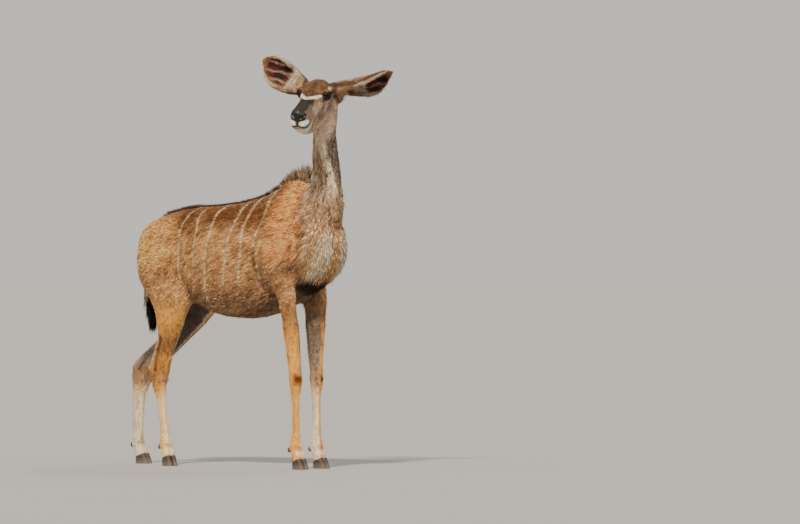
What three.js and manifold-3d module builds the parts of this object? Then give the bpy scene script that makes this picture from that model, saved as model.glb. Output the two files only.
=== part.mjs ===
// A greater kudu cow, life size. She stands with her left hind leg stretched back,
// and looks back over her right side with both ears spread.
// Millimetres. +X runs from her tail to her chest, +Y to her left and +Z up from the ground.
import * as THREE from "three";
import { mergeVertices } from "three/addons/utils/BufferGeometryUtils.js";
import Module from "manifold-3d";

const wasm = await Module();
wasm.setup();

// Driving sizes
const clearance = 0.3; // space between pieces that touch
const seatLift = 0.35; // how far a piece is lifted off the surface that it was cut to
const earWall = 4.5;
const cupEdge = { sealed: -2, open: 8 }; // how far the cup passes an ear's lip, in walls
const eyeRadius = 22;
const lidRadius = 26;
const lidOpening = { length: 50, height: 27, tilt: -12, forward: 20 };
const mouthGroove = { depth: 5, width: 2.4, from: [375, -31], through: [315, -39], to: [262, -55], slab: 120 };
const earBulb = { place: [-4, 60, -24], halves: [50, 38, 38] }; // the swelling at an ear's root
const nostril = { place: [349, 21, 15], halves: [9, 4, 7], turnOut: 38 };
const hornToeTop = { height: 50, heel: 30, frontX: 45, backX: -6 };

// Where each fetlock stands, and how far its toes turn out, in degrees
const feet = {
  foreleg_right: { x: 429, y: -88, toeOut: 4 },
  foreleg_left: { x: 388, y: 85, toeOut: 4 },
  hindleg_right: { x: -377, y: -88, toeOut: 12 },
  hindleg_left: { x: -722, y: 80, toeOut: 12 },
};
const foreCutHeight = 715;
const hindCutHeight = 738;

// The head's own frame: X along the face to the nose, Y to her left, Z out of the forehead
const headPose = { x: 551, y: -55, z: 1665, yaw: -64.5, pitch: 22.5, roll: -6 };
const eyePlace = { x: 104, y: 56, z: 24 };

// The cuts between torso and neck, and between neck and head (the last in the head's frame)
const neckCut = { point: [430, 0, 1255], normal: [0.79, 0, 0.613] };
const headCut = { point: [75, 0, -152], normal: [0.545, 0, 0.839] };

// Finishes
const coat = { color: "#a67c52", roughness: 0.85 };
const neckCoat = { color: "#937a63", roughness: 0.85 };
const legCoat = { color: "#c0915c", roughness: 0.85 };
const earCoat = { color: "#8c6a50", roughness: 0.85 };
const tailCoat = { color: "#6f5138", roughness: 0.9 };
const horn = { color: "#2b2522", roughness: 0.5 };
const eyeGloss = { color: "#140d09", roughness: 0.08 };

// Sections along the trunk: x, top, bottom, level of the widest point, half width,
// squareness above it and squareness below it
const trunkRows = [
  [-574, 975, 880, 930, 20, 2, 2], // back of the buttocks
  [-566, 1032, 832, 935, 58, 2, 2],
  [-546, 1078, 796, 940, 94, 2, 2.1],
  [-512, 1101, 775, 942, 128, 2, 2.1],
  [-460, 1117, 758, 942, 156, 2, 2.2], // haunch
  [-380, 1136, 750, 940, 169, 1.9, 2.2],
  [-290, 1153, 742, 945, 171, 1.9, 2.3], // hip
  [-210, 1160, 722, 945, 180, 1.9, 2.3],
  [-110, 1163, 684, 935, 202, 2, 2.3], // loin
  [0, 1172, 664, 922, 216, 2, 2.3],
  [100, 1187, 663, 915, 214, 1.9, 2.3], // deepest of the belly
  [200, 1213, 681, 925, 196, 1.75, 2.2],
  [290, 1252, 710, 945, 174, 1.6, 2.1],
  [370, 1268, 742, 955, 157, 1.5, 2], // withers
  [430, 1252, 768, 965, 146, 1.6, 2],
  [500, 1202, 810, 975, 128, 1.8, 2],
  [550, 1132, 866, 982, 98, 2, 2],
  [582, 1060, 930, 988, 56, 2, 2], // breast
  [595, 1006, 968, 990, 12, 2, 2],
];

// Swellings and hollows on the trunk: x, y, z, reach along, reach around, lift
const trunkForms = [
  [345, 130, 1085, 100, 120, 13], // shoulder blade
  [350, 140, 905, 105, 105, 20], // upper arm
  [505, 95, 930, 55, 70, 14], // point of the shoulder
  [235, 185, 965, 38, 140, -9], // behind the shoulder
  [-330, 115, 1085, 55, 50, 11], // hip bone
  [-215, 170, 990, 70, 95, -18], // flank
  [-450, 150, 930, 130, 140, 12], // haunch
  [-385, 135, 845, 115, 75, 16], // thigh
  [-345, 0, 745, 60, 60, 14], // udder
];

// Sections up the neck: z, x, y, front, back, left, right, turn, squareness
const neckRows = [
  [1040, 430, 0, 150, 150, 96, 96, 0, 2],
  [1150, 485, 0, 130, 120, 85, 85, -5, 2],
  [1268, 532, 0, 80, 80, 57, 57, -12, 2],
  [1380, 545, -22, 70, 70, 57, 57, -28, 2],
  [1470, 558, -40, 60, 60, 50, 50, -45, 2],
  [1540, 560, -48, 62, 62, 61, 54, -54, 2],
  [1610, 560, -54, 62, 66, 67, 58, -60, 2],
  [1665, 556, -50, 46, 50, 46, 46, -62, 2],
  [1692, 552, -46, 26, 26, 26, 26, -62, 2],
];

// Sections along the head in its own frame, with the same columns as the trunk's
const headRows = [
  [-45, 10, -70, -30, 20, 2, 2],
  [-25, 34, -110, -30, 44, 2, 1.9],
  [0, 50, -135, -25, 56, 2.2, 1.8],
  [25, 60, -148, -20, 62, 2.4, 1.7], // poll
  [60, 63, -152, -10, 66, 2.5, 1.6],
  [90, 62, -149, 5, 67, 2.6, 1.6], // brow
  [118, 58, -143, 5, 60, 2.6, 1.6],
  [150, 54, -139, 0, 53, 2.5, 1.6],
  [185, 51, -134, -5, 48, 2.4, 1.6],
  [220, 49, -124, -12, 43, 2.3, 1.65],
  [260, 48, -107, -15, 39.5, 2.3, 1.75],
  [300, 47, -83, -16, 38.5, 2.3, 1.9],
  [328, 45, -66, -14, 39, 2.3, 2],
  [345, 39, -53, -8, 34, 2.2, 2.1],
  [354, 29, -40, -5, 24, 2.1, 2],
  [359, 14, -16, 0, 8, 2, 2], // end of the nose
];
const headForms = [
  [92, 58, 44, 26, 26, 7], // brow
  [140, 55, -12, 28, 24, 4], // cheekbone
  [70, 52, -60, 45, 45, 7], // jaw muscle
  [185, 45, 12, 30, 26, -3], // in front of the eye
  [338, 26, 22, 16, 16, 5], // nostril wing
  [326, 30, -24, 26, 16, 4], // upper lip
  [326, 0, -66, 20, 18, 4], // chin
  [120, 40, -120, 35, 35, -5], // under the jaw
];

// Sections up a foreleg: z, front and back from the fetlock, distance from the mid-plane, half width
const foreRowsRight = [
  [1000, 40, -100, 105, 36],
  [900, 32, -115, 111, 36],
  [820, 24, -100, 113, 36],
  [745, 14, -76, 112, 35], // elbow
  [690, 18, -64, 108, 33],
  [600, 25, -50, 103, 31],
  [500, 30, -36, 98, 29],
  [440, 29, -27, 95, 28],
  [400, 33, -25, 93, 28], // knee
  [365, 30, -25, 92, 25],
  [328, 21, -21, 90, 18],
  [250, 20, -16, 89, 15.5],
  [170, 20, -16, 88, 16],
  [130, 23, -23, 88, 20],
  [106, 26, -27, 88, 23], // fetlock
  [84, 31, -18, 88, 21],
  [66, 35, -6, 88, 17],
];
const foreRowsLeft = [
  [1000, 30, -100, 105, 40],
  [900, 28, -118, 111, 42],
  [820, 26, -108, 113, 44],
  [745, 30, -92, 112, 44], // elbow
  [690, 30, -86, 108, 40],
  [600, 24, -68, 103, 35],
  [520, 22, -56, 98, 31],
  [440, 20, -40, 95, 28],
  [400, 26, -36, 93, 28], // knee
  [365, 24, -34, 92, 25],
  [328, 17, -27, 90, 19],
  [250, 18, -20, 89, 16],
  [170, 19, -18, 88, 16.5],
  [130, 23, -25, 88, 20],
  [106, 27, -30, 88, 24], // fetlock
  [84, 31, -18, 88, 21],
  [66, 35, -6, 88, 17],
];
// The same for each hind leg, which stand differently
const hindRowsRight = [
  [1000, 77, -155, 90, 58],
  [900, 142, -160, 98, 66],
  [839, 172, -152, 102, 66],
  [743, 185, -61, 112, 62],
  [698, 156, -44, 107, 50],
  [618, 107, -36, 98, 38],
  [565, 74, -36, 92, 33],
  [498, 32, -82, 82, 28],
  [432, 10, -110, 76, 27], // point of the hock
  [400, 0, -108, 76, 26],
  [365, -13, -97, 76, 24],
  [303, -18, -67, 77, 17],
  [174, 7, -33, 84, 15.5],
  [130, 16, -31, 87, 19],
  [106, 24, -30, 88, 22.5],
  [84, 31, -19, 88, 21],
  [66, 35, -6, 88, 17],
];
const hindRowsLeft = [
  [1000, 422, 190, 90, 58],
  [900, 487, 185, 98, 66],
  [839, 510, 193, 102, 66],
  [743, 486, 275, 112, 60],
  [690, 457, 250, 112, 50],
  [640, 404, 210, 106, 43],
  [563, 308, 125, 94, 35],
  [501, 238, 48, 78, 30],
  [461, 188, -2, 70, 28],
  [432, 146, -20, 67, 27], // point of the hock
  [400, 114, -24, 67, 26],
  [365, 86, -22, 68, 24],
  [303, 50, -24, 70, 18],
  [174, 32, -26, 76, 16.5],
  [130, 29, -28, 79, 19],
  [106, 28, -30, 80, 22.5],
  [84, 31, -19, 80, 21],
  [66, 35, -6, 80, 17],
];

// Sections up one toe from its sole: z, x from the fetlock, front, back, outer half, inner half
const toeRows = [
  [0, 30, 36, 34, 15, 12.4],
  [10, 29, 35, 34, 15.5, 12.4],
  [30, 25, 30, 30, 16, 12.4],
  [50, 20, 25, 26, 15.5, 12.6],
  [75, 12, 22, 22, 14.5, 13],
  [98, 5, 20, 22, 12, 13],
];
const toeSpread = 13; // from the middle of the foot to the middle of a toe
const dewclaw = { x: -27, y: 13, z: 86, long: 9, wide: 7, high: 13 };

// Up an ear: share of its length, middle of the section ahead of the axis, half width to the
// margin over the face, half width to the other, depth of the back and thickness of the lip
const earRows = [
  [-0.06, 0, 26, 26, 26, 22],
  [0.06, 2, 36, 46, 32, 26],
  [0.2, 8, 44, 64, 42, 18],
  [0.36, 16, 52, 77, 50, 5],
  [0.52, 20, 57, 81, 50, 3],
  [0.68, 18, 55, 71, 42, 3],
  [0.82, 12, 46, 49, 28, 2.5],
  [0.93, 5, 30, 23, 13, 2],
  [1, 0, 5, 4, 3, 1],
];
// Each ear in the head's frame; the twists turn its opening down at the base and at the tip, in degrees
const ears = {
  ear_right: {
    root: [32, -60, 16],
    tip: [-75, -290, 90],
    facing: [0.87, 0.31, 0.39],
    baseTwist: 0,
    tipTwist: 0,
    sag: 0,
  },
  ear_left: {
    root: [32, 61, 24],
    tip: [-75, 309, 88],
    facing: [0.8, 0.2, -0.55],
    baseTwist: 22,
    tipTwist: -14,
    sag: 32,
  },
};

// Locks of the crest, of the mane on the nape and of the tail's tuft
const lockRoot = 24; // how deep a lock's root is sunk
const lockTaper = { amount: 0.93, power: 2.1 };
const crestLocks = {
  count: 21,
  from: 246,
  to: 424,
  width: 13,
  thickness: 5.5,
  sway: 5,
  splay: 0.1,
  unevenLean: 4,
  unevenHeight: 0.12,
};
// Along the crest: x, the hair's height over the back and how far it leans forward, in degrees
const crestRows = [
  [240, 8, -62],
  [290, 17, -56],
  [330, 36, -44],
  [370, 57, -24],
  [400, 74, -6],
  [416, 72, 4],
  [428, 52, 14],
];
const napeLocks = {
  count: 20,
  length: 62,
  width: 16,
  thickness: 6,
  hang: 47,
  splay: 0.26,
  sway: 3,
  droop: 0.12,
  unevenLength: 0.14,
};
const tuftLocks = {
  count: 14,
  from: 0.62,
  to: 0.9,
  length: 92,
  shrink: 34,
  width: 12,
  thickness: 6,
  splay: 0.3,
  curl: 0.7,
  outTop: 10,
  outEnd: 6.6,
};

// The tail's run from its root, as points, and its radius at each
const tailRun = [
  [-540, 0, 1058, 27],
  [-578, 0, 1038, 23],
  [-595, 2, 1000, 18],
  [-600, 5, 930, 14],
  [-599, 10, 810, 12],
  [-576, 15, 725, 17],
  [-553, 18, 665, 15],
  [-546, 20, 612, 3],
];

const up = new THREE.Vector3(0, 0, 1);
const radians = THREE.MathUtils.degToRad;
const vector = (values) => new THREE.Vector3(...values);

// A closed geometry as a solid with its faces pointing out
function solidFrom(geometry) {
  geometry.deleteAttribute("normal");
  geometry.deleteAttribute("uv");
  const merged = mergeVertices(geometry, 1e-4);
  const position = merged.attributes.position;
  const corners = [0, 1, 2].map(() => new THREE.Vector3());
  const triangles = [];
  let volume = 0;
  for (let i = 0; i < merged.index.count; i += 3) {
    const [a, b, c] = [0, 1, 2].map((k) => merged.index.getX(i + k));
    if (a === b || b === c || c === a) continue;
    corners.forEach((corner, k) => corner.fromBufferAttribute(position, [a, b, c][k]));
    volume += corners[0].dot(corners[1].cross(corners[2]));
    triangles.push([a, b, c]);
  }
  const ordered = volume > 0 ? triangles : triangles.map(([a, b, c]) => [a, c, b]);
  const mesh = new wasm.Mesh({
    numProp: 3,
    vertProperties: Float32Array.from(position.array),
    triVerts: Uint32Array.from(ordered.flat()),
  });
  return new wasm.Manifold(mesh);
}

// The change of column k from row i to its neighbours, kept from overshooting
function slopeAt(rows, i, k) {
  if (i === 0) return rows[1][k] - rows[0][k];
  if (i === rows.length - 1) return rows[i][k] - rows[i - 1][k];
  const before = rows[i][k] - rows[i - 1][k];
  const after = rows[i + 1][k] - rows[i][k];
  if (before * after <= 0) return 0;
  return (2 * before * after) / (before + after);
}

// The row at a place between the given ones, on a smooth curve through them
function rowAt(rows, place) {
  const i = Math.min(Math.floor(place), rows.length - 2);
  const f = place - i;
  return rows[i].map((start, k) => {
    const rise = rows[i + 1][k] - start;
    const leaving = slopeAt(rows, i, k);
    const arriving = slopeAt(rows, i + 1, k);
    const bend = 3 * rise - 2 * leaving - arriving;
    const twist = leaving + arriving - 2 * rise;
    return start + leaving * f + bend * f * f + twist * f * f * f;
  });
}

// A closed body of rings, each end closed on the middle of its last ring
function loft(ringCount, sides, pointAt, middleAt) {
  const geometry = new THREE.SphereGeometry(1, sides, ringCount + 1);
  const { position, uv } = geometry.attributes;
  for (let i = 0; i < position.count; i += 1) {
    const ring = Math.round((1 - uv.getY(i)) * (ringCount + 1));
    const angle = (2 * Math.PI * (Math.round(uv.getX(i) * sides) % sides)) / sides;
    const share = THREE.MathUtils.clamp((ring - 1) / (ringCount - 1), 0, 1);
    const atEnd = ring === 0 || ring === ringCount + 1;
    const point = atEnd ? middleAt(share) : pointAt(share, angle);
    position.setXYZ(i, point.x, point.y, point.z);
  }
  return solidFrom(geometry);
}

// A power of a cosine or sine that keeps its sign: it makes a round section squarer or more pointed
const rounded = (value, squareness) => Math.sign(value) * Math.abs(value) ** (2 / squareness);

// A body of level sections: z, x, y, front, back, left, right, turn, squareness
function column(rows, sides, ringsPerRow) {
  const last = rows.length - 1;
  const middleAt = (share) => {
    const [z, x, y] = rowAt(rows, share * last);
    return new THREE.Vector3(x, y, z);
  };
  const pointAt = (share, angle) => {
    const [, , , front, back, left, right, turn, squareness] = rowAt(rows, share * last);
    const forward = rounded(Math.cos(angle), squareness);
    const aside = rounded(Math.sin(angle), squareness);
    const reach = forward * (forward > 0 ? front : back);
    const spread = aside * (aside > 0 ? left : right);
    return new THREE.Vector3(reach, spread, 0).applyAxisAngle(up, radians(turn)).add(middleAt(share));
  };
  return loft(last * ringsPerRow + 1, sides, pointAt, middleAt);
}

// A point moved away from the middle of its section by the forms near it, alike on both sides
function swell(point, middle, forms) {
  const outward = point.clone().sub(middle).normalize();
  let lift = 0;
  for (const [x, y, z, along, around, height] of forms) {
    const lengthwise = (point.x - x) / along;
    const sideways = Math.hypot(Math.abs(point.y) - y, point.z - z) / around;
    lift += height * Math.exp(-lengthwise * lengthwise - sideways * sideways);
  }
  return point.clone().addScaledVector(outward, lift);
}

// A body of upright sections along X: x, top, bottom, level, half width, squareness above and below
function barrel(rows, forms, sides, ringsPerRow) {
  const last = rows.length - 1;
  const middleAt = (share) => {
    const [x, , , level] = rowAt(rows, share * last);
    return new THREE.Vector3(x, 0, level);
  };
  const pointAt = (share, angle) => {
    const [x, top, bottom, level, half, above, below] = rowAt(rows, share * last);
    const squareness = Math.cos(angle) > 0 ? above : below;
    const rise = rounded(Math.cos(angle), squareness);
    const aside = rounded(Math.sin(angle), squareness);
    const z = level + rise * (rise > 0 ? top - level : level - bottom);
    return swell(new THREE.Vector3(x, aside * half, z), middleAt(share), forms);
  };
  return loft(last * ringsPerRow + 1, sides, pointAt, middleAt);
}

// An ellipsoid of the given half sizes at a place
function ellipsoid(place, halves, sides) {
  const geometry = new THREE.SphereGeometry(1, sides, Math.round(sides * 0.7));
  geometry.scale(...halves);
  geometry.translate(...place);
  return solidFrom(geometry);
}

const transformed = (solid, matrix) => solid.transform(Array.from(matrix.elements));

// The largest closed surface of a solid
function largest(solid) {
  const pieces = solid.decompose();
  return pieces.reduce((best, piece) => (piece.volume() > best.volume() ? piece : best));
}

// The two sides of a plane, kept apart by the clearance: the side that the normal points to comes first
function parted(solid, point, normal) {
  const direction = normal.clone().normalize();
  const offset = direction.dot(point);
  const ahead = solid.trimByPlane(direction.toArray(), offset + clearance / 2);
  const behind = solid.trimByPlane(direction.clone().negate().toArray(), clearance / 2 - offset);
  return [ahead, behind];
}

// A piece cut to the surface of what carries it and lifted off it
function seated(piece, host, direction) {
  const lift = direction.clone().normalize().multiplyScalar(seatLift);
  return largest(piece.subtract(host)).translate(lift.toArray());
}

const model = new THREE.Group();

function addMesh(name, solid, finish) {
  const source = solid.getMesh();
  const geometry = new THREE.BufferGeometry();
  geometry.setAttribute("position", new THREE.BufferAttribute(Float32Array.from(source.vertProperties), 3));
  geometry.setIndex(new THREE.BufferAttribute(Uint32Array.from(source.triVerts), 1));
  geometry.computeVertexNormals();
  const mesh = new THREE.Mesh(geometry, new THREE.MeshStandardMaterial({ ...finish, metalness: 0 }));
  mesh.name = name;
  model.add(mesh);
}

// The head's frame in the animal's
const headTurn = new THREE.Euler(
  radians(headPose.roll),
  radians(headPose.pitch),
  radians(headPose.yaw),
  "ZYX",
);
const headFrame = new THREE.Matrix4().makeRotationFromEuler(headTurn);
headFrame.setPosition(headPose.x, headPose.y, headPose.z);

// Legs: each is a column down to the pastern, with two toes that end in their hooves
function legColumn(rows, foot) {
  const side = Math.sign(foot.y);
  const sections = rows.map(([z, front, back, out, half]) => {
    const middle = (front + back) / 2;
    const reach = (front - back) / 2;
    return [z, foot.x + middle, side * out, reach, reach, half, half, 0, 2];
  });
  return column(sections, 14, 1);
}

// A toe's sections stand about the foot, turned out with it
function toe(foot, place) {
  const turn = Math.sign(foot.y) * foot.toeOut;
  const sections = toeRows.map(([z, x, front, back, outer, inner]) => {
    const middle = new THREE.Vector3(x, place * toeSpread, z).applyAxisAngle(up, radians(turn));
    const left = place > 0 ? outer : inner;
    const right = place > 0 ? inner : outer;
    return [z, foot.x + middle.x, foot.y + middle.y, front, back, left, right, turn, 2.3];
  });
  return column(sections, 12, 1);
}

function coronetPlane(foot) {
  const turn = radians(Math.sign(foot.y) * foot.toeOut);
  const run = hornToeTop.frontX - hornToeTop.backX;
  const fall = hornToeTop.height - hornToeTop.heel;
  const point = new THREE.Vector3(hornToeTop.frontX, 0, hornToeTop.height).applyAxisAngle(up, turn);
  const normal = new THREE.Vector3(-fall, 0, run).applyAxisAngle(up, turn);
  return { point: point.add(new THREE.Vector3(foot.x, foot.y, 0)), normal };
}

const legRows = {
  foreleg_right: foreRowsRight,
  foreleg_left: foreRowsLeft,
  hindleg_right: hindRowsRight,
  hindleg_left: hindRowsLeft,
};
const legs = {};
const hooves = {};
const dewclaws = {};
for (const [name, foot] of Object.entries(feet)) {
  const { point, normal } = coronetPlane(foot);
  let leg = legColumn(legRows[name], foot);
  const claws = {};
  for (const [toeName, place] of [["left", 1], ["right", -1]]) {
    const [pastern, hoof] = parted(toe(foot, place), point, normal);
    hooves[`hoof_${name}_${toeName}`] = hoof;
    leg = leg.add(pastern);
    claws[`dewclaw_${name}_${toeName}`] = place;
  }
  legs[name] = parted(leg, point, normal)[0];
  for (const [clawName, place] of Object.entries(claws)) {
    const middle = [foot.x + dewclaw.x, foot.y + place * dewclaw.y, dewclaw.z];
    const claw = ellipsoid(middle, [dewclaw.long, dewclaw.wide, dewclaw.high], 8);
    dewclaws[clawName] = seated(claw, legs[name], new THREE.Vector3(-1, 0, -0.4));
  }
}

// Trunk, neck and head are made whole and then parted with thin cuts
let body = barrel(trunkRows, trunkForms, 26, 2);
const lowerLegs = {};
for (const [name, leg] of Object.entries(legs)) {
  const height = name.startsWith("fore") ? foreCutHeight : hindCutHeight;
  const [upper, lower] = parted(leg, new THREE.Vector3(0, 0, height), up);
  body = body.add(upper);
  lowerLegs[name] = lower;
}
for (const [name, lower] of Object.entries(lowerLegs)) {
  lowerLegs[name] = largest(lower.subtract(body));
}
const neckAndTrunk = body.add(column(neckRows, 22, 2));
const [neckAndHead, torso] = parted(neckAndTrunk, vector(neckCut.point), vector(neckCut.normal));
const headBody = transformed(barrel(headRows, headForms, 28, 1), headFrame);
const cutPoint = vector(headCut.point).applyMatrix4(headFrame);
const cutNormal = vector(headCut.normal).transformDirection(headFrame);
const [headAlone, neck] = parted(neckAndHead.add(headBody), cutPoint, cutNormal);

// A flat tapered lock that bends on its way out; its tip is a blunt point
function lock({ root, direction, bend, across, length, width, thickness }) {
  const heading = direction.clone().normalize();
  const side = across.clone().addScaledVector(heading, -across.dot(heading)).normalize();
  const flat = heading.clone().cross(side);
  const whole = length + lockRoot;
  const middleAt = (share) => (
    root.clone()
      .addScaledVector(heading, whole * share - lockRoot)
      .addScaledVector(bend, length * share * share)
  );
  const pointAt = (share, angle) => {
    const taper = 1 - lockTaper.amount * share ** lockTaper.power;
    return middleAt(share)
      .addScaledVector(side, width * taper * Math.cos(angle))
      .addScaledVector(flat, thickness * taper * Math.sin(angle));
  };
  return loft(5, 4, pointAt, middleAt);
}

// The place of a row between the given ones, by its first value
function placeOf(rows, value) {
  const i = rows.findIndex((row) => row[0] > value);
  return i - 1 + (value - rows[i - 1][0]) / (rows[i][0] - rows[i - 1][0]);
}

// The crest stands on the withers: its locks lean back behind, and forward in front
function crest(host) {
  const { count, from, to, width, thickness, sway, splay, unevenLean, unevenHeight } = crestLocks;
  let whole = host;
  for (let i = 0; i < count; i += 1) {
    const x = THREE.MathUtils.lerp(from, to, i / (count - 1));
    const [, height, lean] = rowAt(crestRows, placeOf(crestRows, x));
    const back = rowAt(trunkRows, placeOf(trunkRows, x))[1];
    const side = i % 2 === 0 ? 1 : -1;
    const tilt = radians(lean + unevenLean * Math.sin(2.6 * i));
    whole = whole.add(lock({
      root: new THREE.Vector3(x, side * sway, back),
      direction: new THREE.Vector3(Math.sin(tilt), side * splay, Math.cos(tilt)),
      bend: new THREE.Vector3(-splay, -side * splay, 0),
      across: new THREE.Vector3(1, 0, 0),
      length: (height * (1 - unevenHeight * Math.sin(1.9 * i) ** 2)) / Math.cos(tilt),
      width,
      thickness,
    }));
  }
  return whole;
}

// The mane hangs from the back of the neck in locks that overlap like shingles
function napeMane(host) {
  const { count, length, width, thickness, hang, splay, sway, droop, unevenLength } = napeLocks;
  const rows = neckRows.slice(2, -1);
  let whole = host;
  for (let i = 0; i < count; i += 1) {
    const share = ((rows.length - 1) * (i + 0.5)) / count;
    const [z, x, y, , back, , , turn] = rowAt(rows, share);
    const outward = new THREE.Vector3(-1, 0, 0).applyAxisAngle(up, radians(turn));
    const aside = outward.clone().cross(up);
    const side = i % 2 === 0 ? 1 : -1;
    whole = whole.add(lock({
      root: new THREE.Vector3(x, y, z).addScaledVector(outward, back).addScaledVector(aside, side * sway),
      direction: outward.clone().multiplyScalar(Math.cos(radians(hang)))
        .addScaledVector(up, -Math.sin(radians(hang)))
        .addScaledVector(aside, side * splay),
      bend: outward.clone().multiplyScalar(-droop).addScaledVector(aside, (-side * splay) / 2),
      across: up,
      length: length * (1 + unevenLength * Math.sin(2.3 * i)),
      width,
      thickness,
    }));
  }
  return whole;
}

addMesh("torso", largest(crest(torso)), coat);
addMesh("neck", largest(parted(napeMane(neck), cutPoint, cutNormal)[1]), neckCoat);

// The mouth's line: a thin curved slab without its core
function mouthCut() {
  const { depth, width, from, through, to, slab: thickness } = mouthGroove;
  const line = new THREE.Shape();
  line.moveTo(from[0], from[1] + width / 2);
  line.quadraticCurveTo(through[0], through[1] + width / 2, to[0], to[1] + width / 4);
  line.lineTo(to[0], to[1] - width / 4);
  line.quadraticCurveTo(through[0], through[1] - width / 2, from[0], from[1] - width / 2);
  const slab = new THREE.ExtrudeGeometry(line, { depth: thickness, bevelEnabled: false, curveSegments: 5 });
  slab.translate(0, 0, -thickness / 2);
  slab.rotateX(Math.PI / 2);
  const coreRows = headRows.slice(8, -2).map(([x, top, bottom, level, half, above, below]) => (
    [x - depth / 2, top, bottom, level, half - depth, above, below]
  ));
  return solidFrom(slab).subtract(barrel(coreRows, headForms, 20, 1));
}

function nostrilCut(side) {
  const { place, halves, turnOut } = nostril;
  const geometry = new THREE.SphereGeometry(1, 10, 7);
  geometry.scale(...halves);
  geometry.rotateZ(radians(side * turnOut));
  geometry.translate(place[0], side * place[1], place[2]);
  return solidFrom(geometry);
}

// The head takes its mouth, nostrils, sockets and lids
const eyes = {};
let head = headAlone.subtract(transformed(mouthCut(), headFrame));
for (const side of [1, -1]) head = head.subtract(transformed(nostrilCut(side), headFrame));
for (const [name, side] of [["eye_left", 1], ["eye_right", -1]]) {
  const place = [eyePlace.x, side * eyePlace.y, eyePlace.z];
  const ball = ellipsoid(place, [eyeRadius, eyeRadius, eyeRadius], 14);
  const socket = eyeRadius + clearance;
  const lids = ellipsoid(place, [lidRadius, lidRadius, lidRadius], 18);
  const hollow = ellipsoid(place, [socket, socket, socket], 14);
  const { length, height, tilt, forward } = lidOpening;
  const almond = new THREE.Shape();
  almond.moveTo(-length / 2, 0);
  almond.quadraticCurveTo(0, height, length / 2, 0);
  almond.quadraticCurveTo(0, -height, -length / 2, 0);
  const slit = new THREE.ExtrudeGeometry(almond, { depth: lidRadius * 2, bevelEnabled: false, curveSegments: 8 });
  slit.rotateZ(radians(side * tilt));
  slit.rotateX(side * -Math.PI / 2);
  slit.rotateZ(radians(-side * forward));
  slit.translate(...place);
  head = head.add(transformed(lids, headFrame)).subtract(transformed(hollow, headFrame));
  head = head.subtract(transformed(solidFrom(slit), headFrame));
  eyes[name] = transformed(ball, headFrame);
}
head = largest(head);
addMesh("head", head, coat);
for (const [name, ball] of Object.entries(eyes)) addMesh(name, ball, eyeGloss);

// Ears: a tapering body with a cup taken out of its front
function ear({ root, tip, facing, baseTwist, tipTwist, sag }) {
  const rootPoint = vector(root);
  const along = vector(tip).sub(rootPoint);
  const length = along.length();
  along.normalize();
  const lowerSide = Math.sign(root[1]);
  const outerRows = earRows.map(([share, forward, overFace, other, back, lip]) => {
    const twist = THREE.MathUtils.lerp(baseTwist, tipTwist, THREE.MathUtils.smoothstep(share, 0, 1));
    const droop = sag * Math.sin(Math.PI * THREE.MathUtils.clamp(share, 0, 1)) * lowerSide;
    const [left, right] = lowerSide > 0 ? [other, overFace] : [overFace, other];
    return [share * length, forward, droop, lip, back, left, right, twist * lowerSide, 2];
  });
  const innerRows = outerRows.slice(2, -1).map(([z, x, y, lip, back, left, right, turn], i) => {
    const opening = lip + earWall * (i === 0 ? cupEdge.sealed : cupEdge.open);
    const floor = Math.max(back - earWall, 3);
    return [z, x, y, opening, floor, left - earWall, right - earWall, turn, 2];
  });
  const front = vector(facing).addScaledVector(along, -vector(facing).dot(along)).normalize();
  const frame = new THREE.Matrix4().makeBasis(front, along.clone().cross(front), along);
  frame.setPosition(...root);
  const [x, y, z] = earBulb.place;
  const bulb = ellipsoid([x, lowerSide * y, z], earBulb.halves, 12);
  const placed = (piece) => transformed(piece, headFrame.clone().multiply(frame));
  const whole = placed(column(outerRows, 20, 1)).add(transformed(bulb, headFrame));
  const solid = whole.subtract(placed(column(innerRows, 18, 1)));
  return { solid, direction: along.clone().transformDirection(headFrame) };
}
for (const [name, plan] of Object.entries(ears)) {
  const { solid, direction } = ear(plan);
  addMesh(name, seated(solid, head, direction), earCoat);
}

// Tail
const tailCurve = new THREE.CatmullRomCurve3(tailRun.map(([x, y, z]) => new THREE.Vector3(x, y, z)));
function tailBody() {
  const last = tailRun.length - 1;
  const middleAt = (share) => tailCurve.getPoint(share);
  const pointAt = (share, angle) => {
    const radius = rowAt(tailRun, share * last)[3];
    const tangent = tailCurve.getTangent(share);
    const aside = new THREE.Vector3(0, 1, 0);
    const across = tangent.clone().cross(aside).normalize();
    return middleAt(share)
      .addScaledVector(across, radius * Math.cos(angle))
      .addScaledVector(aside, radius * Math.sin(angle));
  };
  return loft(last * 3 + 1, 10, pointAt, middleAt);
}
// The tuft's locks hang around the tail's lower half
function tuft(host) {
  const { count, from, to, length, shrink, width, thickness, splay, curl, outTop, outEnd } = tuftLocks;
  const goldenTurn = Math.PI * (3 - Math.sqrt(5));
  let whole = host;
  for (let i = 0; i < count; i += 1) {
    const share = THREE.MathUtils.lerp(from, to, i / (count - 1));
    const tangent = tailCurve.getTangent(share);
    const outward = new THREE.Vector3(Math.cos(i * goldenTurn), Math.sin(i * goldenTurn), 0);
    outward.addScaledVector(tangent, -outward.dot(tangent)).normalize();
    whole = whole.add(lock({
      root: tailCurve.getPoint(share)
        .addScaledVector(outward, THREE.MathUtils.lerp(outTop, outEnd, i / (count - 1))),
      direction: tangent.clone().addScaledVector(outward, splay),
      bend: outward.clone().multiplyScalar(-splay * curl),
      across: tangent.clone().cross(outward),
      length: length - (shrink * i) / (count - 1),
      width,
      thickness,
    }));
  }
  return whole;
}
const tail = seated(tailBody(), torso, new THREE.Vector3(-1, 0, 0));
addMesh("tail", largest(tuft(tail)), tailCoat);

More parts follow.
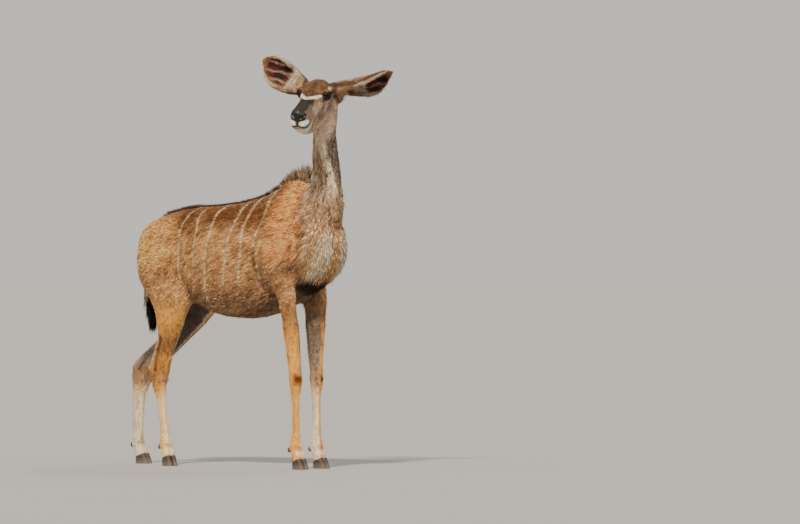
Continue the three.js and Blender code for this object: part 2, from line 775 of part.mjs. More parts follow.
for (const [name, lower] of Object.entries(lowerLegs)) addMesh(name, lower, legCoat);
for (const [name, hoof] of Object.entries(hooves)) addMesh(name, hoof, horn);
for (const [name, claw] of Object.entries(dewclaws)) addMesh(name, claw, horn);

// The origin is the middle of the ground that she covers
const extent = new THREE.Box3().setFromObject(model);
const middle = extent.getCenter(new THREE.Vector3());
model.position.set(-middle.x, -middle.y, 0);

export default model;
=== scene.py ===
# A greater kudu cow as a still, in her short coat. Metres, in the model's own frame.
import math

import bmesh
import bpy
import numpy as np
from mathutils import Euler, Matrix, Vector
from mathutils.kdtree import KDTree


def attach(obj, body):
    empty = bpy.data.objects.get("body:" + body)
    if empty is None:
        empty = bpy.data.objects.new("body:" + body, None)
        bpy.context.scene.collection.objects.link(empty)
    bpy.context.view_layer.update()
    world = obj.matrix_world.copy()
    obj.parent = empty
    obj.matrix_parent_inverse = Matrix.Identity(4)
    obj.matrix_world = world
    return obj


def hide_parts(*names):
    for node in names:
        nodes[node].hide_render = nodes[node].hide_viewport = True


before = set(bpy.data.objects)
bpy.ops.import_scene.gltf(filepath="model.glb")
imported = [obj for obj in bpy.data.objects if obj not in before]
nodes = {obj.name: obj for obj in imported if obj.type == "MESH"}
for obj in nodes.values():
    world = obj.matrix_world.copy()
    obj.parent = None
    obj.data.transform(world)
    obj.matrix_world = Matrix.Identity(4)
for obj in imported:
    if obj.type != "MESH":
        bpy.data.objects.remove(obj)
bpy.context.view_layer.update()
collection = bpy.context.scene.collection
random = np.random.default_rng(7)
print("frame loaded")

# Markings and hair are laid out in her own millimetres: +X forward, +Y to her left
shift = np.array([-29.777, 75.039, 0.0])
headPlace = np.array([551.0, -55.0, 1665.0])
headTurn = np.array(Euler([math.radians(v) for v in (-6, 22.5, -64.5)], "XYZ").to_matrix())


def own(points):  # from the frame's metres to her own millimetres
    return np.asarray(points) * 1000 - shift


def row(points):  # and back
    return (np.asarray(points) + shift) * 0.001


def inHead(points):
    return (points - headPlace) @ headTurn


def fromHead(points):
    return np.asarray(points, float) @ headTurn.T + headPlace


def unit(vectors):
    length = np.linalg.norm(vectors, axis=-1, keepdims=True)
    return vectors / np.maximum(length, 1e-9)


def step(value, start, end):  # a soft step from 0 at the start to 1 at the end
    share = np.clip((value - start) / (end - start), 0, 1)
    return share * share * (3 - 2 * share)


def bump(value, middle, reach):  # 1 at the middle, falling softly to both sides
    return np.exp(-(((value - middle) / reach) ** 2))


def mix(first, second, share):
    share = np.asarray(share)[:, None]
    return first * (1 - share) + second * share


def linear(code):  # an sRGB hex value as linear light
    levels = [int(code[i : i + 2], 16) / 255 for i in (1, 3, 5)]
    return np.array([v / 12.92 if v <= 0.04045 else ((v + 0.055) / 1.055) ** 2.4 for v in levels])


def lattice(cells, seed):  # a fixed random value from 0 to 1 for each cell of a grid
    mask = 0xFFFFFFFF
    mixed = cells[:, 0] * 374761393 + cells[:, 1] * 668265263 + cells[:, 2] * 362437 + seed * 97463
    mixed = mixed & mask
    mixed = ((mixed ^ (mixed >> 13)) * 1274126177) & mask
    return ((mixed ^ (mixed >> 16)) & 0xFFFF) / 0xFFFF


def noise(points, size, seed):  # a soft random value from -1 to 1
    scaled = np.asarray(points) / size
    cells = np.floor(scaled).astype(np.int64)
    inside = scaled - cells
    inside = inside * inside * (3 - 2 * inside)
    total = np.zeros(len(scaled))
    for corner in range(8):
        offset = np.array([corner & 1, (corner >> 1) & 1, corner >> 2])
        share = np.prod(np.where(offset, inside, 1 - inside), axis=1)
        total += share * lattice(cells + offset, seed)
    return total * 2 - 1


def nearLine(points, line):  # the distance to a run of points
    line = np.asarray(line, float)
    best = np.full(len(points), 1e9)
    for a, b in zip(line[:-1], line[1:]):
        d = b - a
        share = np.clip(((points - a) @ d) / (d @ d), 0, 1)
        best = np.minimum(best, np.linalg.norm(points - a - share[:, None] * d, axis=1))
    return best


def swirl(points, size, seed):  # a soft random way at each point
    return np.stack([noise(points, size, seed + k) for k in range(3)], 1)


def fromSpot(points, place, stretch=(1, 1, 1)):  # the distance to a place, longer along some ways
    return np.linalg.norm((points - np.array(place)) * np.array(stretch), axis=1)


def curved(line, count):  # a smooth curve through a few points
    line = np.asarray(line, float)
    place = np.linspace(0, len(line) - 1, count)
    i = np.minimum(place.astype(int), len(line) - 2)
    f = (place - i)[:, None]
    before = line[np.maximum(i - 1, 0)]
    after = line[np.minimum(i + 2, len(line) - 1)]
    a, b = line[i], line[i + 1]
    return 0.5 * (
        2 * a
        + (b - before) * f
        + (2 * before - 5 * a + 4 * b - after) * f**2
        + (3 * a - before - 3 * b + after) * f**3
    )


# Meshes to and from arrays


def arrayMesh(name, points, faces):
    mesh = bpy.data.meshes.new(name)
    sides = faces.shape[1]
    mesh.vertices.add(len(points))
    mesh.vertices.foreach_set("co", row(points).astype(np.float32).ravel())
    mesh.loops.add(faces.size)
    mesh.loops.foreach_set("vertex_index", faces.astype(np.int32).ravel())
    mesh.polygons.add(len(faces))
    mesh.polygons.foreach_set("loop_start", np.arange(0, faces.size, sides, dtype=np.int32))
    mesh.polygons.foreach_set("use_smooth", np.ones(len(faces), bool))
    mesh.update()
    mesh.validate()
    return mesh


def arraysOf(mesh):
    points = np.empty(len(mesh.vertices) * 3)
    mesh.vertices.foreach_get("co", points)
    mesh.calc_loop_triangles()
    triangles = np.empty(len(mesh.loop_triangles) * 3, np.int32)
    mesh.loop_triangles.foreach_get("vertices", triangles)
    return own(points.reshape(-1, 3)), triangles.reshape(-1, 3)


def joined(pieces):
    points, faces, start = [], [], 0
    for p, f in pieces:
        points.append(p)
        faces.append(f + start)
        start += len(p)
    return np.concatenate(points), np.concatenate(faces)


def remeshed(points, faces, size):  # the same form as one closed skin of small squares
    holder = bpy.data.objects.new("form", arrayMesh("form", points, faces))
    collection.objects.link(holder)
    voxels = holder.modifiers.new("voxels", "REMESH")
    voxels.mode = "VOXEL"
    voxels.voxel_size = size
    depsgraph = bpy.context.evaluated_depsgraph_get()
    result = bpy.data.meshes.new_from_object(holder.evaluated_get(depsgraph))
    bpy.data.objects.remove(holder)
    return result


def sphere(segments, rings):  # a closed sphere of radius 1
    form = bmesh.new()
    bmesh.ops.create_uvsphere(form, u_segments=segments, v_segments=rings, radius=1)
    bmesh.ops.triangulate(form, faces=form.faces)
    points = np.array([v.co for v in form.verts])
    faces = np.array([[v.index for v in f.verts] for f in form.faces])
    form.free()
    first = faces.argmin(1)[:, None]
    faces = np.take_along_axis(faces, (first + np.arange(3)) % 3, 1)
    return points, faces[np.lexsort(faces.T[::-1])]  # in the same order on every run


def drawnOut(line, radii, sides):  # a sphere drawn out along a run of points
    points, faces = sphere(sides, len(line))
    place = np.arccos(np.clip(points[:, 2], -1, 1)) / math.pi * (len(line) - 1)
    low = np.minimum(place.astype(int), len(line) - 2)
    share = (place - low)[:, None]
    heading = unit(np.gradient(line, axis=0))
    aside = unit(np.cross(heading, np.array([0.13, 1, 0.21])))
    third = np.cross(heading, aside)
    around = unit(np.concatenate([points[:, :2], np.zeros((len(points), 1))], 1))
    reach = np.interp(place, range(len(line)), radii)[:, None]
    centre = line[low] * (1 - share) + line[low + 1] * share
    spread = aside[low] * around[:, :1] + third[low] * around[:, 1:2]
    return centre + spread * reach, faces


def edgesOf(faces):
    pairs = np.concatenate([faces[:, [0, 1]], faces[:, [1, 2]], faces[:, [2, 0]]])
    pairs.sort(axis=1)
    return np.unique(pairs, axis=0)


def neighbourMean(values, edges):
    a, b = edges.T
    size = len(values)
    count = np.bincount(a, minlength=size) + np.bincount(b, minlength=size)
    columns = [
        np.bincount(a, values[b, k], size) + np.bincount(b, values[a, k], size)
        for k in range(values.shape[1])
    ]
    return np.stack(columns, 1) / np.maximum(count, 1)[:, None]


def smoothed(points, edges, rounds, weight):  # each point drawn towards its neighbours
    weight = np.broadcast_to(weight, len(points))[:, None]
    for _ in range(rounds):
        points = points + 0.5 * weight * (neighbourMean(points, edges) - points)
    return points


def normalsOf(points, triangles):
    a, b, c = points[triangles[:, 0]], points[triangles[:, 1]], points[triangles[:, 2]]
    across = np.cross(b - a, c - a)
    total = np.zeros_like(points)
    for k in range(3):
        for axis in range(3):
            total[:, axis] += np.bincount(triangles[:, k], across[:, axis], len(points))
    return unit(total)


# Skin: the flesh without its locks, made anew as one closed surface

skinForm = {
    "legVoxel": 0.0050,
    "trunkVoxel": 0.0105,
    "headVoxel": 0.0043,
    "legParting": 640,
    "headParting": 1446,
    "earWall": 1.5,
    "eyeRadius": 22.0,
    "eyePlace": (104, 56, 24),
    "lockWidth": 45,  # how far aside the solids' locks reach
    "lockStart": 205,
    "plugWidth": 0.74,
    "plugDepth": 26,
    "knobRadii": [6, 12, 15, 17, 17],
    "tailRadii": [24, 20, 15, 11, 9, 9, 5],
    "relief": 1.35,
}
backLine = np.array([
    [200, 1213], [290, 1252], [345, 1264], [370, 1268], [400, 1263], [430, 1252], [500, 1202],
])
# Up the neck: z, x, y, reach to the back and turn
neckLine = np.array([
    [1150, 485, 0, 120, -5],
    [1268, 532, 0, 80, -12],
    [1380, 545, -22, 70, -28],
    [1470, 558, -40, 60, -45],
    [1540, 560, -48, 62, -54],
    [1610, 560, -54, 66, -60],
    [1665, 556, -50, 50, -62],
])
tailLine = [
    (-530, 0, 1060), (-578, 0, 1038), (-595, 2, 1000), (-600, 5, 930), (-599, 10, 810), (-576, 15, 725),
    (-556, 18, 675),
]
tailRun = curved(tailLine, 24)
# Where each fetlock stands, and where its leg crosses the parting
footPlaces = {
    "foreleg_right": (429, -88), "foreleg_left": (388, 85), "hindleg_right": (-377, -88),
    "hindleg_left": (-722, 80),
}
legCrossings = {
    "foreleg_right": (415, -105), "foreleg_left": (366, 105), "hindleg_right": (-330, -100),
    "hindleg_left": (-415, 106),
}


def neckAxis(heights):
    return [np.interp(heights, neckLine[:, 0], neckLine[:, k]) for k in (1, 2, 3, 4)]


def napeFrame(points):  # how far forward of the neck's axis, how far aside, and the nape's reach
    x, y, reach, turn = neckAxis(points[:, 2])
    turn = np.radians(turn)
    dx, dy = points[:, 0] - x, points[:, 1] - y
    return dx * np.cos(turn) + dy * np.sin(turn), -dx * np.sin(turn) + dy * np.cos(turn), reach


def withoutLocks(name):
    points, triangles = arraysOf(nodes[name].data)
    if name.startswith("ear"):  # a thicker ear, so that no hole comes where it is thin
        points = points + normalsOf(points, triangles) * skinForm["earWall"]
    if name == "torso":
        back = np.interp(points[:, 0], backLine[:, 0], backLine[:, 1])
        stray = (points[:, 2] > back + 3) & (np.abs(points[:, 1]) < skinForm["lockWidth"])
        stray &= points[:, 0] > skinForm["lockStart"]
        points[stray, 2] = back[stray] - 16
        points[stray, 1] *= 0.2
    if name == "neck":
        forward, aside, reach = napeFrame(points)
        stray = (forward < -reach - 2.5) & (np.abs(aside) < skinForm["lockWidth"])
        x, y, _, turn = neckAxis(points[:, 2])
        heading = np.stack([np.cos(np.radians(turn)), np.sin(np.radians(turn))], 1)
        inner = np.stack([x, y], 1) - heading * (0.7 * reach)[:, None]
        points[stray, :2] = inner[stray]
    return points, triangles


def hoofPlug(name):  # carries the skin down into the hoof
    points, triangles = arraysOf(nodes[name].data)
    middle = points.mean(0)
    top = points[:, 2].max()
    width = skinForm["plugWidth"]
    points = middle + (points - middle) * np.array([width, width, 1.0])
    points[:, 2] = np.maximum(points[:, 2], top - skinForm["plugDepth"]) + 2
    return points, triangles


def clawKnob(name):  # the knob of flesh that each dewclaw sits on
    middle = arraysOf(nodes[name].data)[0].mean(0)
    foot = name[len("dewclaw_"):].rsplit("_", 1)[0]
    inner = np.array([*footPlaces[foot], middle[2] + 8])
    run = np.array([middle + (inner - middle) * share for share in (-0.12, 0.12, 0.4, 0.7, 1.0)])
    return drawnOut(run, skinForm["knobRadii"], 12)


hoofNames = [n for n in nodes if n.startswith("hoof")]
legNames = [n for n in nodes if n.startswith(("foreleg", "hindleg"))]
eyeSides = {"eye_left": 1, "eye_right": -1}
eyeMiddles = {
    name: fromHead([np.array(skinForm["eyePlace"]) * (1, side, 1)])[0]
    for name, side in eyeSides.items()
}


def zone(pieces, size, above=None, below=None):  # the pieces made anew between two heights
    mesh = remeshed(*joined(pieces), size)
    form = bmesh.new()
    form.from_mesh(mesh)
    for height, direction in ((above, 1), (below, -1)):
        if height is None:
            continue
        bmesh.ops.bisect_plane(
            form,
            geom=form.verts[:] + form.edges[:] + form.faces[:],
            plane_co=(0, 0, (height + 3 * direction) * 0.001),
            plane_no=(0, 0, direction),
            clear_inner=True,
        )
    form.to_mesh(mesh)
    form.free()
    return mesh


def refine(form, middle, reach):  # halves the edges near a place
    target = Vector(row(middle))
    near = {v for v in form.verts if (v.co - target).length < reach * 0.001}
    edges = [e for e in form.edges if e.verts[0] in near and e.verts[1] in near]
    bmesh.ops.subdivide_edges(form, edges=edges, cuts=1, use_grid_fill=True)
    bmesh.ops.triangulate(form, faces=[f for f in form.faces if len(f.verts) > 3])


def makeSkin():
    legs = [arraysOf(nodes[n].data) for n in legNames]
    along = np.linspace(0, len(skinForm["tailRadii"]) - 1, len(tailRun))
    radii = np.interp(along, range(len(skinForm["tailRadii"])), skinForm["tailRadii"])
    tail = drawnOut(tailRun, radii, 16)
    trunk = [withoutLocks("torso"), withoutLocks("neck"), tail] + legs
    feet = trunk + [hoofPlug(n) for n in hoofNames]
    feet += [clawKnob(n) for n in nodes if n.startswith("dewclaw")]
    head = [withoutLocks(n) for n in ("neck", "head", "ear_left", "ear_right")]
    points, faces = sphere(24, 16)
    for middle in eyeMiddles.values():
        head.append((points * (skinForm["eyeRadius"] - 0.6) + middle, faces))
    low, high = skinForm["legParting"], skinForm["headParting"]
    whole = bmesh.new()
    whole.from_mesh(zone(feet, skinForm["legVoxel"], below=low))
    whole.from_mesh(zone(trunk, skinForm["trunkVoxel"], above=low, below=high))
    whole.from_mesh(zone(head, skinForm["headVoxel"], above=high))
    rims = [e for e in whole.edges if e.is_boundary]
    middles = own([(e.verts[0].co + e.verts[1].co) / 2 for e in rims])
    places = np.array(list(legCrossings.values()))
    nearest = np.linalg.norm(middles[:, None, :2] - places, axis=2).argmin(1)
    for number in range(len(places)):
        ring = np.flatnonzero((nearest == number) & (middles[:, 2] < 900))
        bmesh.ops.bridge_loops(whole, edges=[rims[i] for i in ring])
    bmesh.ops.bridge_loops(whole, edges=[rims[i] for i in np.flatnonzero(middles[:, 2] > 1300)])
    bmesh.ops.triangulate(whole, faces=whole.faces)
    for middle in eyeMiddles.values():
        refine(whole, middle, 36)
        refine(whole, middle, 31)
    refine(whole, fromHead([(335, 0, -8)])[0], 50)
    bmesh.ops.recalc_face_normals(whole, faces=whole.faces)
    gaps = sum(e.is_boundary for e in whole.edges)
    mesh = bpy.data.meshes.new("skin")
    whole.to_mesh(mesh)
    whole.free()
    print("skin joined,", len(mesh.polygons), "triangles,", gaps, "open edges")
    return mesh, tail


skinMesh, tailTube = makeSkin()
skinPoints, skinFaces = arraysOf(skinMesh)
skinEdges = edgesOf(skinFaces)

# Which part of her each point of the skin belongs to, with soft borders
partNames = ["torso", "neck", "head", "ear_left", "ear_right", "foreleg_left", "foreleg_right"]
partNames += ["hindleg_left", "hindleg_right", "tail"]


def cornerShares(count):  # random places within a triangle
    u, v = random.random(count), random.random(count)
    over = u + v > 1
    u[over], v[over] = 1 - u[over], 1 - v[over]
    return np.stack([1 - u - v, u, v], 1)


def scatter(points, triangles, spacing):  # one spacing, or one for each triangle; none where it is 0
    a, b, c = (points[triangles[:, k]] for k in range(3))
    area = np.linalg.norm(np.cross(b - a, c - a), axis=1) / 2
    spacing = np.broadcast_to(spacing, len(area))
    total = np.cumsum(np.where(spacing > 0, area / np.maximum(spacing, 0.1) ** 2, 0))
    count = max(int(total[-1]), 1)
    place = (np.arange(count) + random.random(count)) * total[-1] / count
    chosen = np.minimum(np.searchsorted(total, place), len(area) - 1)
    return chosen, cornerShares(count)


def treeOf(points, indices=None):
    tree = KDTree(len(points))
    for i, point in enumerate(points):
        tree.insert(point, int(indices[i]) if indices is not None else i)
    tree.balance()
    return tree


def findParts():  # each point of the skin goes with the nearest solid
    places, labels = [], []
    for label, name in enumerate(partNames):
        points, triangles = tailTube if name == "tail" else arraysOf(nodes[name].data)
        chosen, shares = scatter(points, triangles, 9)
        places.append((points[triangles[chosen]] * shares[:, :, None]).sum(1))
        labels.append(np.full(len(chosen), label))
    places, labels = np.concatenate(places), np.concatenate(labels)
    tree = treeOf(places)
    nearest = np.array([tree.find(point)[1] for point in skinPoints])
    return np.eye(len(partNames))[labels[nearest]]


hardParts = findParts()
parts = hardParts
for _ in range(14):
    parts = 0.4 * parts + 0.6 * neighbourMean(parts, skinEdges)
print("skin parts found")


def partShare(weights, *names):  # how far each point belongs to the named parts
    return weights[:, [partNames.index(n) for n in names]].sum(1)


def raised(lift):  # the skin moved along its normals
    return skinPoints + normalsOf(skinPoints, skinFaces) * np.reshape(lift, (-1, 1))


# Smoothing: the flesh loses its facets and keeps its fullness
broad = np.clip(partShare(parts, "torso", "neck"), 0, 1)
slim = partShare(parts, *legNames, "tail")
onHead = partShare(parts, "head")
thigh = slim * step(skinPoints[:, 2], 560, 700)
original = skinPoints
for rounds, weight in ((5, 1.0), (20, np.clip(broad + thigh, 0, 1)), (5, 0.8 * slim + 0.5 * onHead)):
    skinPoints = smoothed(skinPoints, skinEdges, rounds, weight)
lost = ((original - skinPoints) * normalsOf(skinPoints, skinFaces)).sum(1, keepdims=True)
for _ in range(16):
    lost = neighbourMean(lost, skinEdges)
skinPoints = raised(np.clip(lost, -4, 8))
print("skin smoothed")

# Muscles, bones and folds: from, to, reach and lift, alike on both sides of the trunk
trunkForms = [
    ((318, 0, 1262), (402, 0, 1266), 34, 14),  # withers
    ((395, 60, 1245), (365, 125, 1050), 26, 4.5),  # ridge of the shoulder blade
    ((345, 120, 1190), (300, 150, 1060), 42, 4),
    ((425, 105, 1170), (420, 125, 1060), 30, -3.5),  # in front of the blade
    ((365, 130, 1040), (470, 112, 960), 40, 7),  # upper arm
    ((445, 120, 880), (400, 132, 850), 26, -6),  # under it
    ((300, 150, 930), (330, 140, 800), 42, 7),  # back of the upper arm
    ((250, 175, 1000), (282, 150, 790), 18, -7.5),  # behind the elbow
    ((495, 90, 1080), (470, 100, 900), 18, -5),  # between shoulder and breast
    ((-255, 145, 960), (-215, 150, 830), 34, -6),  # flank
    ((-250, 130, 800), (-320, 120, 760), 26, 5),  # fold to the stifle
    ((-330, 110, 1095), (-345, 120, 1075), 26, 6),  # hip bone
    ((-505, 75, 1040), (-540, 70, 1010), 28, 4),  # seat bone
    ((-380, 155, 1000), (-300, 160, 860), 46, 4),  # thigh
    ((-500, 118, 960), (-470, 135, 830), 20, -5),  # between the thigh's muscles
    ((-440, 150, 900), (-410, 150, 780), 30, 3.5),
    ((470, 45, 905), (520, 40, 985), 20, -3),
    ((455, 0, 800), (560, 0, 920), 26, 6),  # keel of the breast
    ((545, 30, 900), (575, 40, 1060), 18, 3),
]
ribs = [
    ((x, 150, 1060), (x - 25, 185, 960), (x - 22, 175, 850), 13, 1.2) for x in range(-60, 230, 42)
]
neckForms = [
    ((583, -95, 1480), (592, -80, 1425), 10, 5),  # the ridge down the neck
    ((592, -80, 1425), (602, -45, 1316), 12, 5.5),
    ((602, -45, 1316), (606, -28, 1240), 16, 5),
    ((606, -28, 1240), (590, -10, 1120), 24, 4),
    ((560, -100, 1480), (575, -70, 1330), 16, -4.5),  # the groove beside it
    ((575, -70, 1330), (560, -60, 1200), 22, -5),
    ((605, -52, 1420), (615, -20, 1330), 12, -3),
    ((500, -70, 1230), (540, -70, 1130), 34, -4),
    ((500, 70, 1230), (540, 70, 1130), 34, -4),
    ((540, -78, 1390), (500, -72, 1250), 20, 3.5),
]
# Along each leg, from its fetlock's place: bones, tendons and the grooves between them
cannonForms = [
    ((-4, 17, 340), (-3, 15, 140), 6, -2.4),
    ((-4, -17, 340), (-3, -15, 140), 6, -2.4),
    ((2, 21, 112), (2, 21, 100), 12, 2.4),
    ((2, -21, 112), (2, -21, 100), 12, 2.4),
]
foreForms = cannonForms + [
    ((33, 0, 412), (32, 0, 384), 16, 3.2),  # knee
    ((-26, 0, 404), (-24, 0, 386), 9, 4),  # the bone behind it
    ((4, 17, 400), (4, 17, 380), 12, 2.5),
    ((4, -17, 400), (4, -17, 380), 12, 2.5),
    ((-22, 0, 520), (-30, 0, 640), 16, 3),
    ((18, 20, 560), (10, 24, 680), 16, 3),
    ((28, -8, 470), (22, -16, 600), 9, -2.5),
]
# The tendon above each hock stands clear of the shin: the tendon's run and the groove's
hockForms = {
    "hindleg_right": [
        ((-30, 0, 560), (-75, 0, 470), (-100, 0, 440)),
        ((-6, 0, 570), (-45, 0, 490), (-62, 0, 425)),
    ],
    "hindleg_left": [
        ((115, 0, 560), (40, 0, 490), (-4, 0, 450)),
        ((170, 0, 570), (90, 0, 490), (38, 0, 425)),
    ],
}
hockBones = {"hindleg_right": (-30, 0, 385), "hindleg_left": (62, 0, 385)}


def raiseAlong(lift, share, forms, *views):  # adds each form's lift near its line, in every view
    for *line, reach, height in forms:
        gap = np.min([nearLine(view, line) for view in views], axis=0)
        lift += share * height * bump(gap, 0, reach)


def sculptBody():  # lift of muscles, bones and folds over the whole skin
    lift = np.zeros(len(skinPoints))
    folded = skinPoints * np.array([1, -1, 1])
    trunk = partShare(parts, "torso", "neck") + 0.7 * slim * step(skinPoints[:, 2], 640, 760)
    raiseAlong(lift, skinForm["relief"] * trunk, trunkForms, skinPoints, folded)
    raiseAlong(lift, trunk, ribs, skinPoints, folded)
    raiseAlong(lift, partShare(parts, "neck", "head", "torso"), neckForms, skinPoints)
    for name, place in footPlaces.items():
        share = partShare(parts, name)
        local = skinPoints - np.array([*place, 0])
        raiseAlong(lift, share, foreForms if name.startswith("fore") else cannonForms, local)
        if name in hockForms:
            flat = local * np.array([1, 0, 1])
            tendon, groove = hockForms[name]
            raiseAlong(lift, share, [(*tendon, 9, 4.5), (*groove, 9, -10)], flat)
            knob = fromSpot(flat - tendon[-1], (4, 0, -12))
            lift += share * 3.5 * bump(knob, 0, 15)
            lift += share * 6.5 * bump(fromSpot(flat, hockBones[name]), 0, 15)
    return lift


skinPoints = raised(sculptBody())

# How deep the skin lies inside the outline, under the coat
coatDepth = {"trunk": 4.2, "legs": 1.6, "head": 1.2, "muzzle": 0.8, "ears": 0.3}
muzzle = onHead * step(inHead(skinPoints)[:, 0], 230, 320)
depth = coatDepth["trunk"] * broad + coatDepth["legs"] * slim
depth += coatDepth["head"] * onHead * (1 - coatDepth["muzzle"] * muzzle)
depth += (skinForm["earWall"] + coatDepth["ears"]) * partShare(parts, "ear_left", "ear_right")
skinPoints = raised(-depth)

# Face: in the head's millimetres, X along the face to the nose, Y to her left
faceForms = [
    ((60, 48, 52), (125, 52, 46), 15, 2.5),  # brow
    ((150, 44, -4), (205, 42, -20), 12, 3.2),  # cheekbone
    ((160, 38, 26), (230, 30, 26), 13, -3),  # beside the bridge
    ((190, 0, 54), (320, 0, 48), 16, 1.5),  # bridge
    ((60, 62, -40), (95, 58, -95), 26, 3),  # jaw muscle
    ((130, 48, -60), (240, 36, -62), 18, -2.5),  # between cheek and jaw
    ((120, 40, -128), (230, 28, -112), 12, 2.5),  # edge of the jaw
    ((262, 42, -34), (238, 43, -70), 5, 2),  # folds behind the mouth
    ((250, 43, -28), (226, 44, -62), 5, -2),
    ((240, 44, -20), (214, 45, -52), 6, 1.8),
    ((226, 45, -14), (202, 46, -44), 6, -1.6),
    ((272, 40, -8), (234, 43, 2), 7, 1.8),
    ((268, 40, -20), (236, 43, -10), 5, -1.8),
    ((347, 27, 20), (351, 15, 6), 6, 2.6),  # nostril wing
    ((348, 30, 12), (338, 36, 16), 6, 1.6),
    ((356, 0, 16), (357, 0, -28), 3.2, -2),  # groove of the nose
    ((330, 33, -20), (350, 18, -22), 9, 2.6),  # upper lip
    ((330, 20, -54), (344, 8, -48), 8, 2.2),  # lower lip
    ((306, 0, -82), (326, 0, -74), 14, 2),  # chin
    ((20, 0, 62), (45, 0, 64), 26, 2),  # crown
]
mouthLine = curved([
    (358, 0, -31), (352, 16, -34), (338, 33, -38), (314, 41, -42), (286, 42, -48), (262, 41, -55),
], 20)
nostrilLine = curved([(354, 11, 6), (353, 19, 11), (348, 26, 18), (340, 31, 21)], 8)


def foldedHead(points):  # both sides of the head laid on its left side
    local = inHead(points)
    local[:, 1] = np.abs(local[:, 1])
    return local


def sculptFace():  # lift of the face, with the mouth and the nostrils cut in
    local = foldedHead(skinPoints)
    lift = np.zeros(len(local))
    mouth = nearLine(local, mouthLine)
    raiseAlong(lift, 1, faceForms, local)
    lift -= 3.6 * bump(mouth, 0, 2.4)
    lift += bump(mouth, 6, 3.4)
    lift -= 9 * bump(nearLine(local, nostrilLine), 0, 3.2)
    return lift * onHead


skinPoints = raised(sculptFace())

# Lids: the skin is drawn over the eyeball round an almond opening
eyeForm = {
    "length": 50,
    "height": 29,
    "tilt": 12,
    "forward": 22,
    "edge": 22.9,
    "lid": 25.0,
    "under": 19.4,
    "rim": 1.9,
}


def eyeFrame(side):  # outward, forward along the slit, and up, in her own axes
    forward = math.radians(eyeForm["forward"])
    tilt = math.radians(eyeForm["tilt"])
    outward = unit(np.array([math.sin(forward), side * math.cos(forward), 0.05]))
    along = unit(np.cross([0, 0, 1], outward)) * -side
    upward = np.cross(along, outward) * side
    slit = along * math.cos(tilt) + upward * math.sin(tilt)
    upward = upward * math.cos(tilt) - along * math.sin(tilt)
    return outward @ headTurn.T, slit @ headTurn.T, upward @ headTurn.T


def drawLids(points):
    radius = skinForm["eyeRadius"]
    for name, side in eyeSides.items():
        outward, slit, upward = eyeFrame(side)
        away = points - eyeMiddles[name]
        reach = np.linalg.norm(away, axis=1)
        way = away / reach[:, None]
        along, high = way @ slit * radius, way @ upward * radius
        seen = (reach < 44) & (way @ outward > 0.05)
        half = eyeForm["length"] / 2
        edge = eyeForm["height"] / 2 * (1 - (along / half) ** 2)
        gap = np.abs(high) - edge  # how far outside the opening
        lid = eyeForm["edge"] + (eyeForm["lid"] - eyeForm["edge"]) * step(gap, 0.4, 5)
        lid = lid + 0.9 * (high > 0) * bump(gap, 4, 3) - 1.2 * bump(gap, 9, 2.2)
        shaped = eyeForm["under"] + (lid - eyeForm["under"]) * step(gap, -1.1, 0.5)
        share = (1 - step(gap, 7, 15)) * seen
        goal = np.where(gap > 0.5, np.maximum(reach, shaped) * 0.3 + shaped * 0.7, shaped)
        share = share[:, None]
        points = points * (1 - share) + (eyeMiddles[name] + way * goal[:, None]) * share
        behind = (np.linalg.norm(points - eyeMiddles[name], axis=1) < radius + 0.3) & (gap > -1.1) & seen
        points[behind] = eyeMiddles[name] + way[behind] * (radius + 0.5)
    return points


skinPoints = drawLids(skinPoints)
skinNormals = normalsOf(skinPoints, skinFaces)
print("skin sculpted")

# Colours of her coat, worked out at any point of her own surface
tones = {
    "flank": "#d8a26c",
    "upperFlank": "#80512d",
    "back": "#9b7653",
    "rump": "#ffc074",
    "shoulder": "#f8ad69",
    # the belly's greyer hair, darkened also as painted shade for the underside
    "belly": "#97745a",
    # painted shade between the legs, under the body
    "groinShade": "#77604c",
    # a grey-brown; on her neck's left side it is partly painted shade
    "neckGrey": "#61574f",
    "neckBrown": "#c0a286",
    "neckPale": "#efd2ae",
    "brisket": "#ffe0bc",
    "brisketDark": "#8b6c50",
    "legOut": "#f8b050",
    # the inner legs' greyish hair, darkened as painted shade
    "legIn": "#7f7a76",
    "legPale": "#f8e6cd",
    "cannon": "#ffd38c",
    # a darker brown; on the trunk it is painted shade round the shoulder and elbow
    "upperArm": "#7f5a3e",
    "knee": "#663210",
    # near-black marks of her own, and also painted shadow under the chest and on the forelegs
    "dark": "#1c120d",
    "shade": "#62554b",
    "stripe": "#fde2b6",
    "forehead": "#865f3c",
    "cheek": "#c2a288",
    "bridge": "#17110f",
    "muzzle": "#5b483b",
    "lip": "#fffaf2",
    "nose": "#0b0908",
    "chevron": "#fbeeda",
    "earBack": "#9a704c",
    "earEdge": "#33251c",
    "earInside": "#280703",
    "earPale": "#f0d8be",
    "earRed": "#5a2014",
    "mane": "#352617",
    "dorsal": "#231b16",
    "tailTop": "#8a6440",
    "tailTip": "#120d0b",
    "eye": "#0d0908",
    "iris": "#1a0f09",
    "pupil": "#020203",
}
tone = {name: linear(code) for name, code in tones.items()}
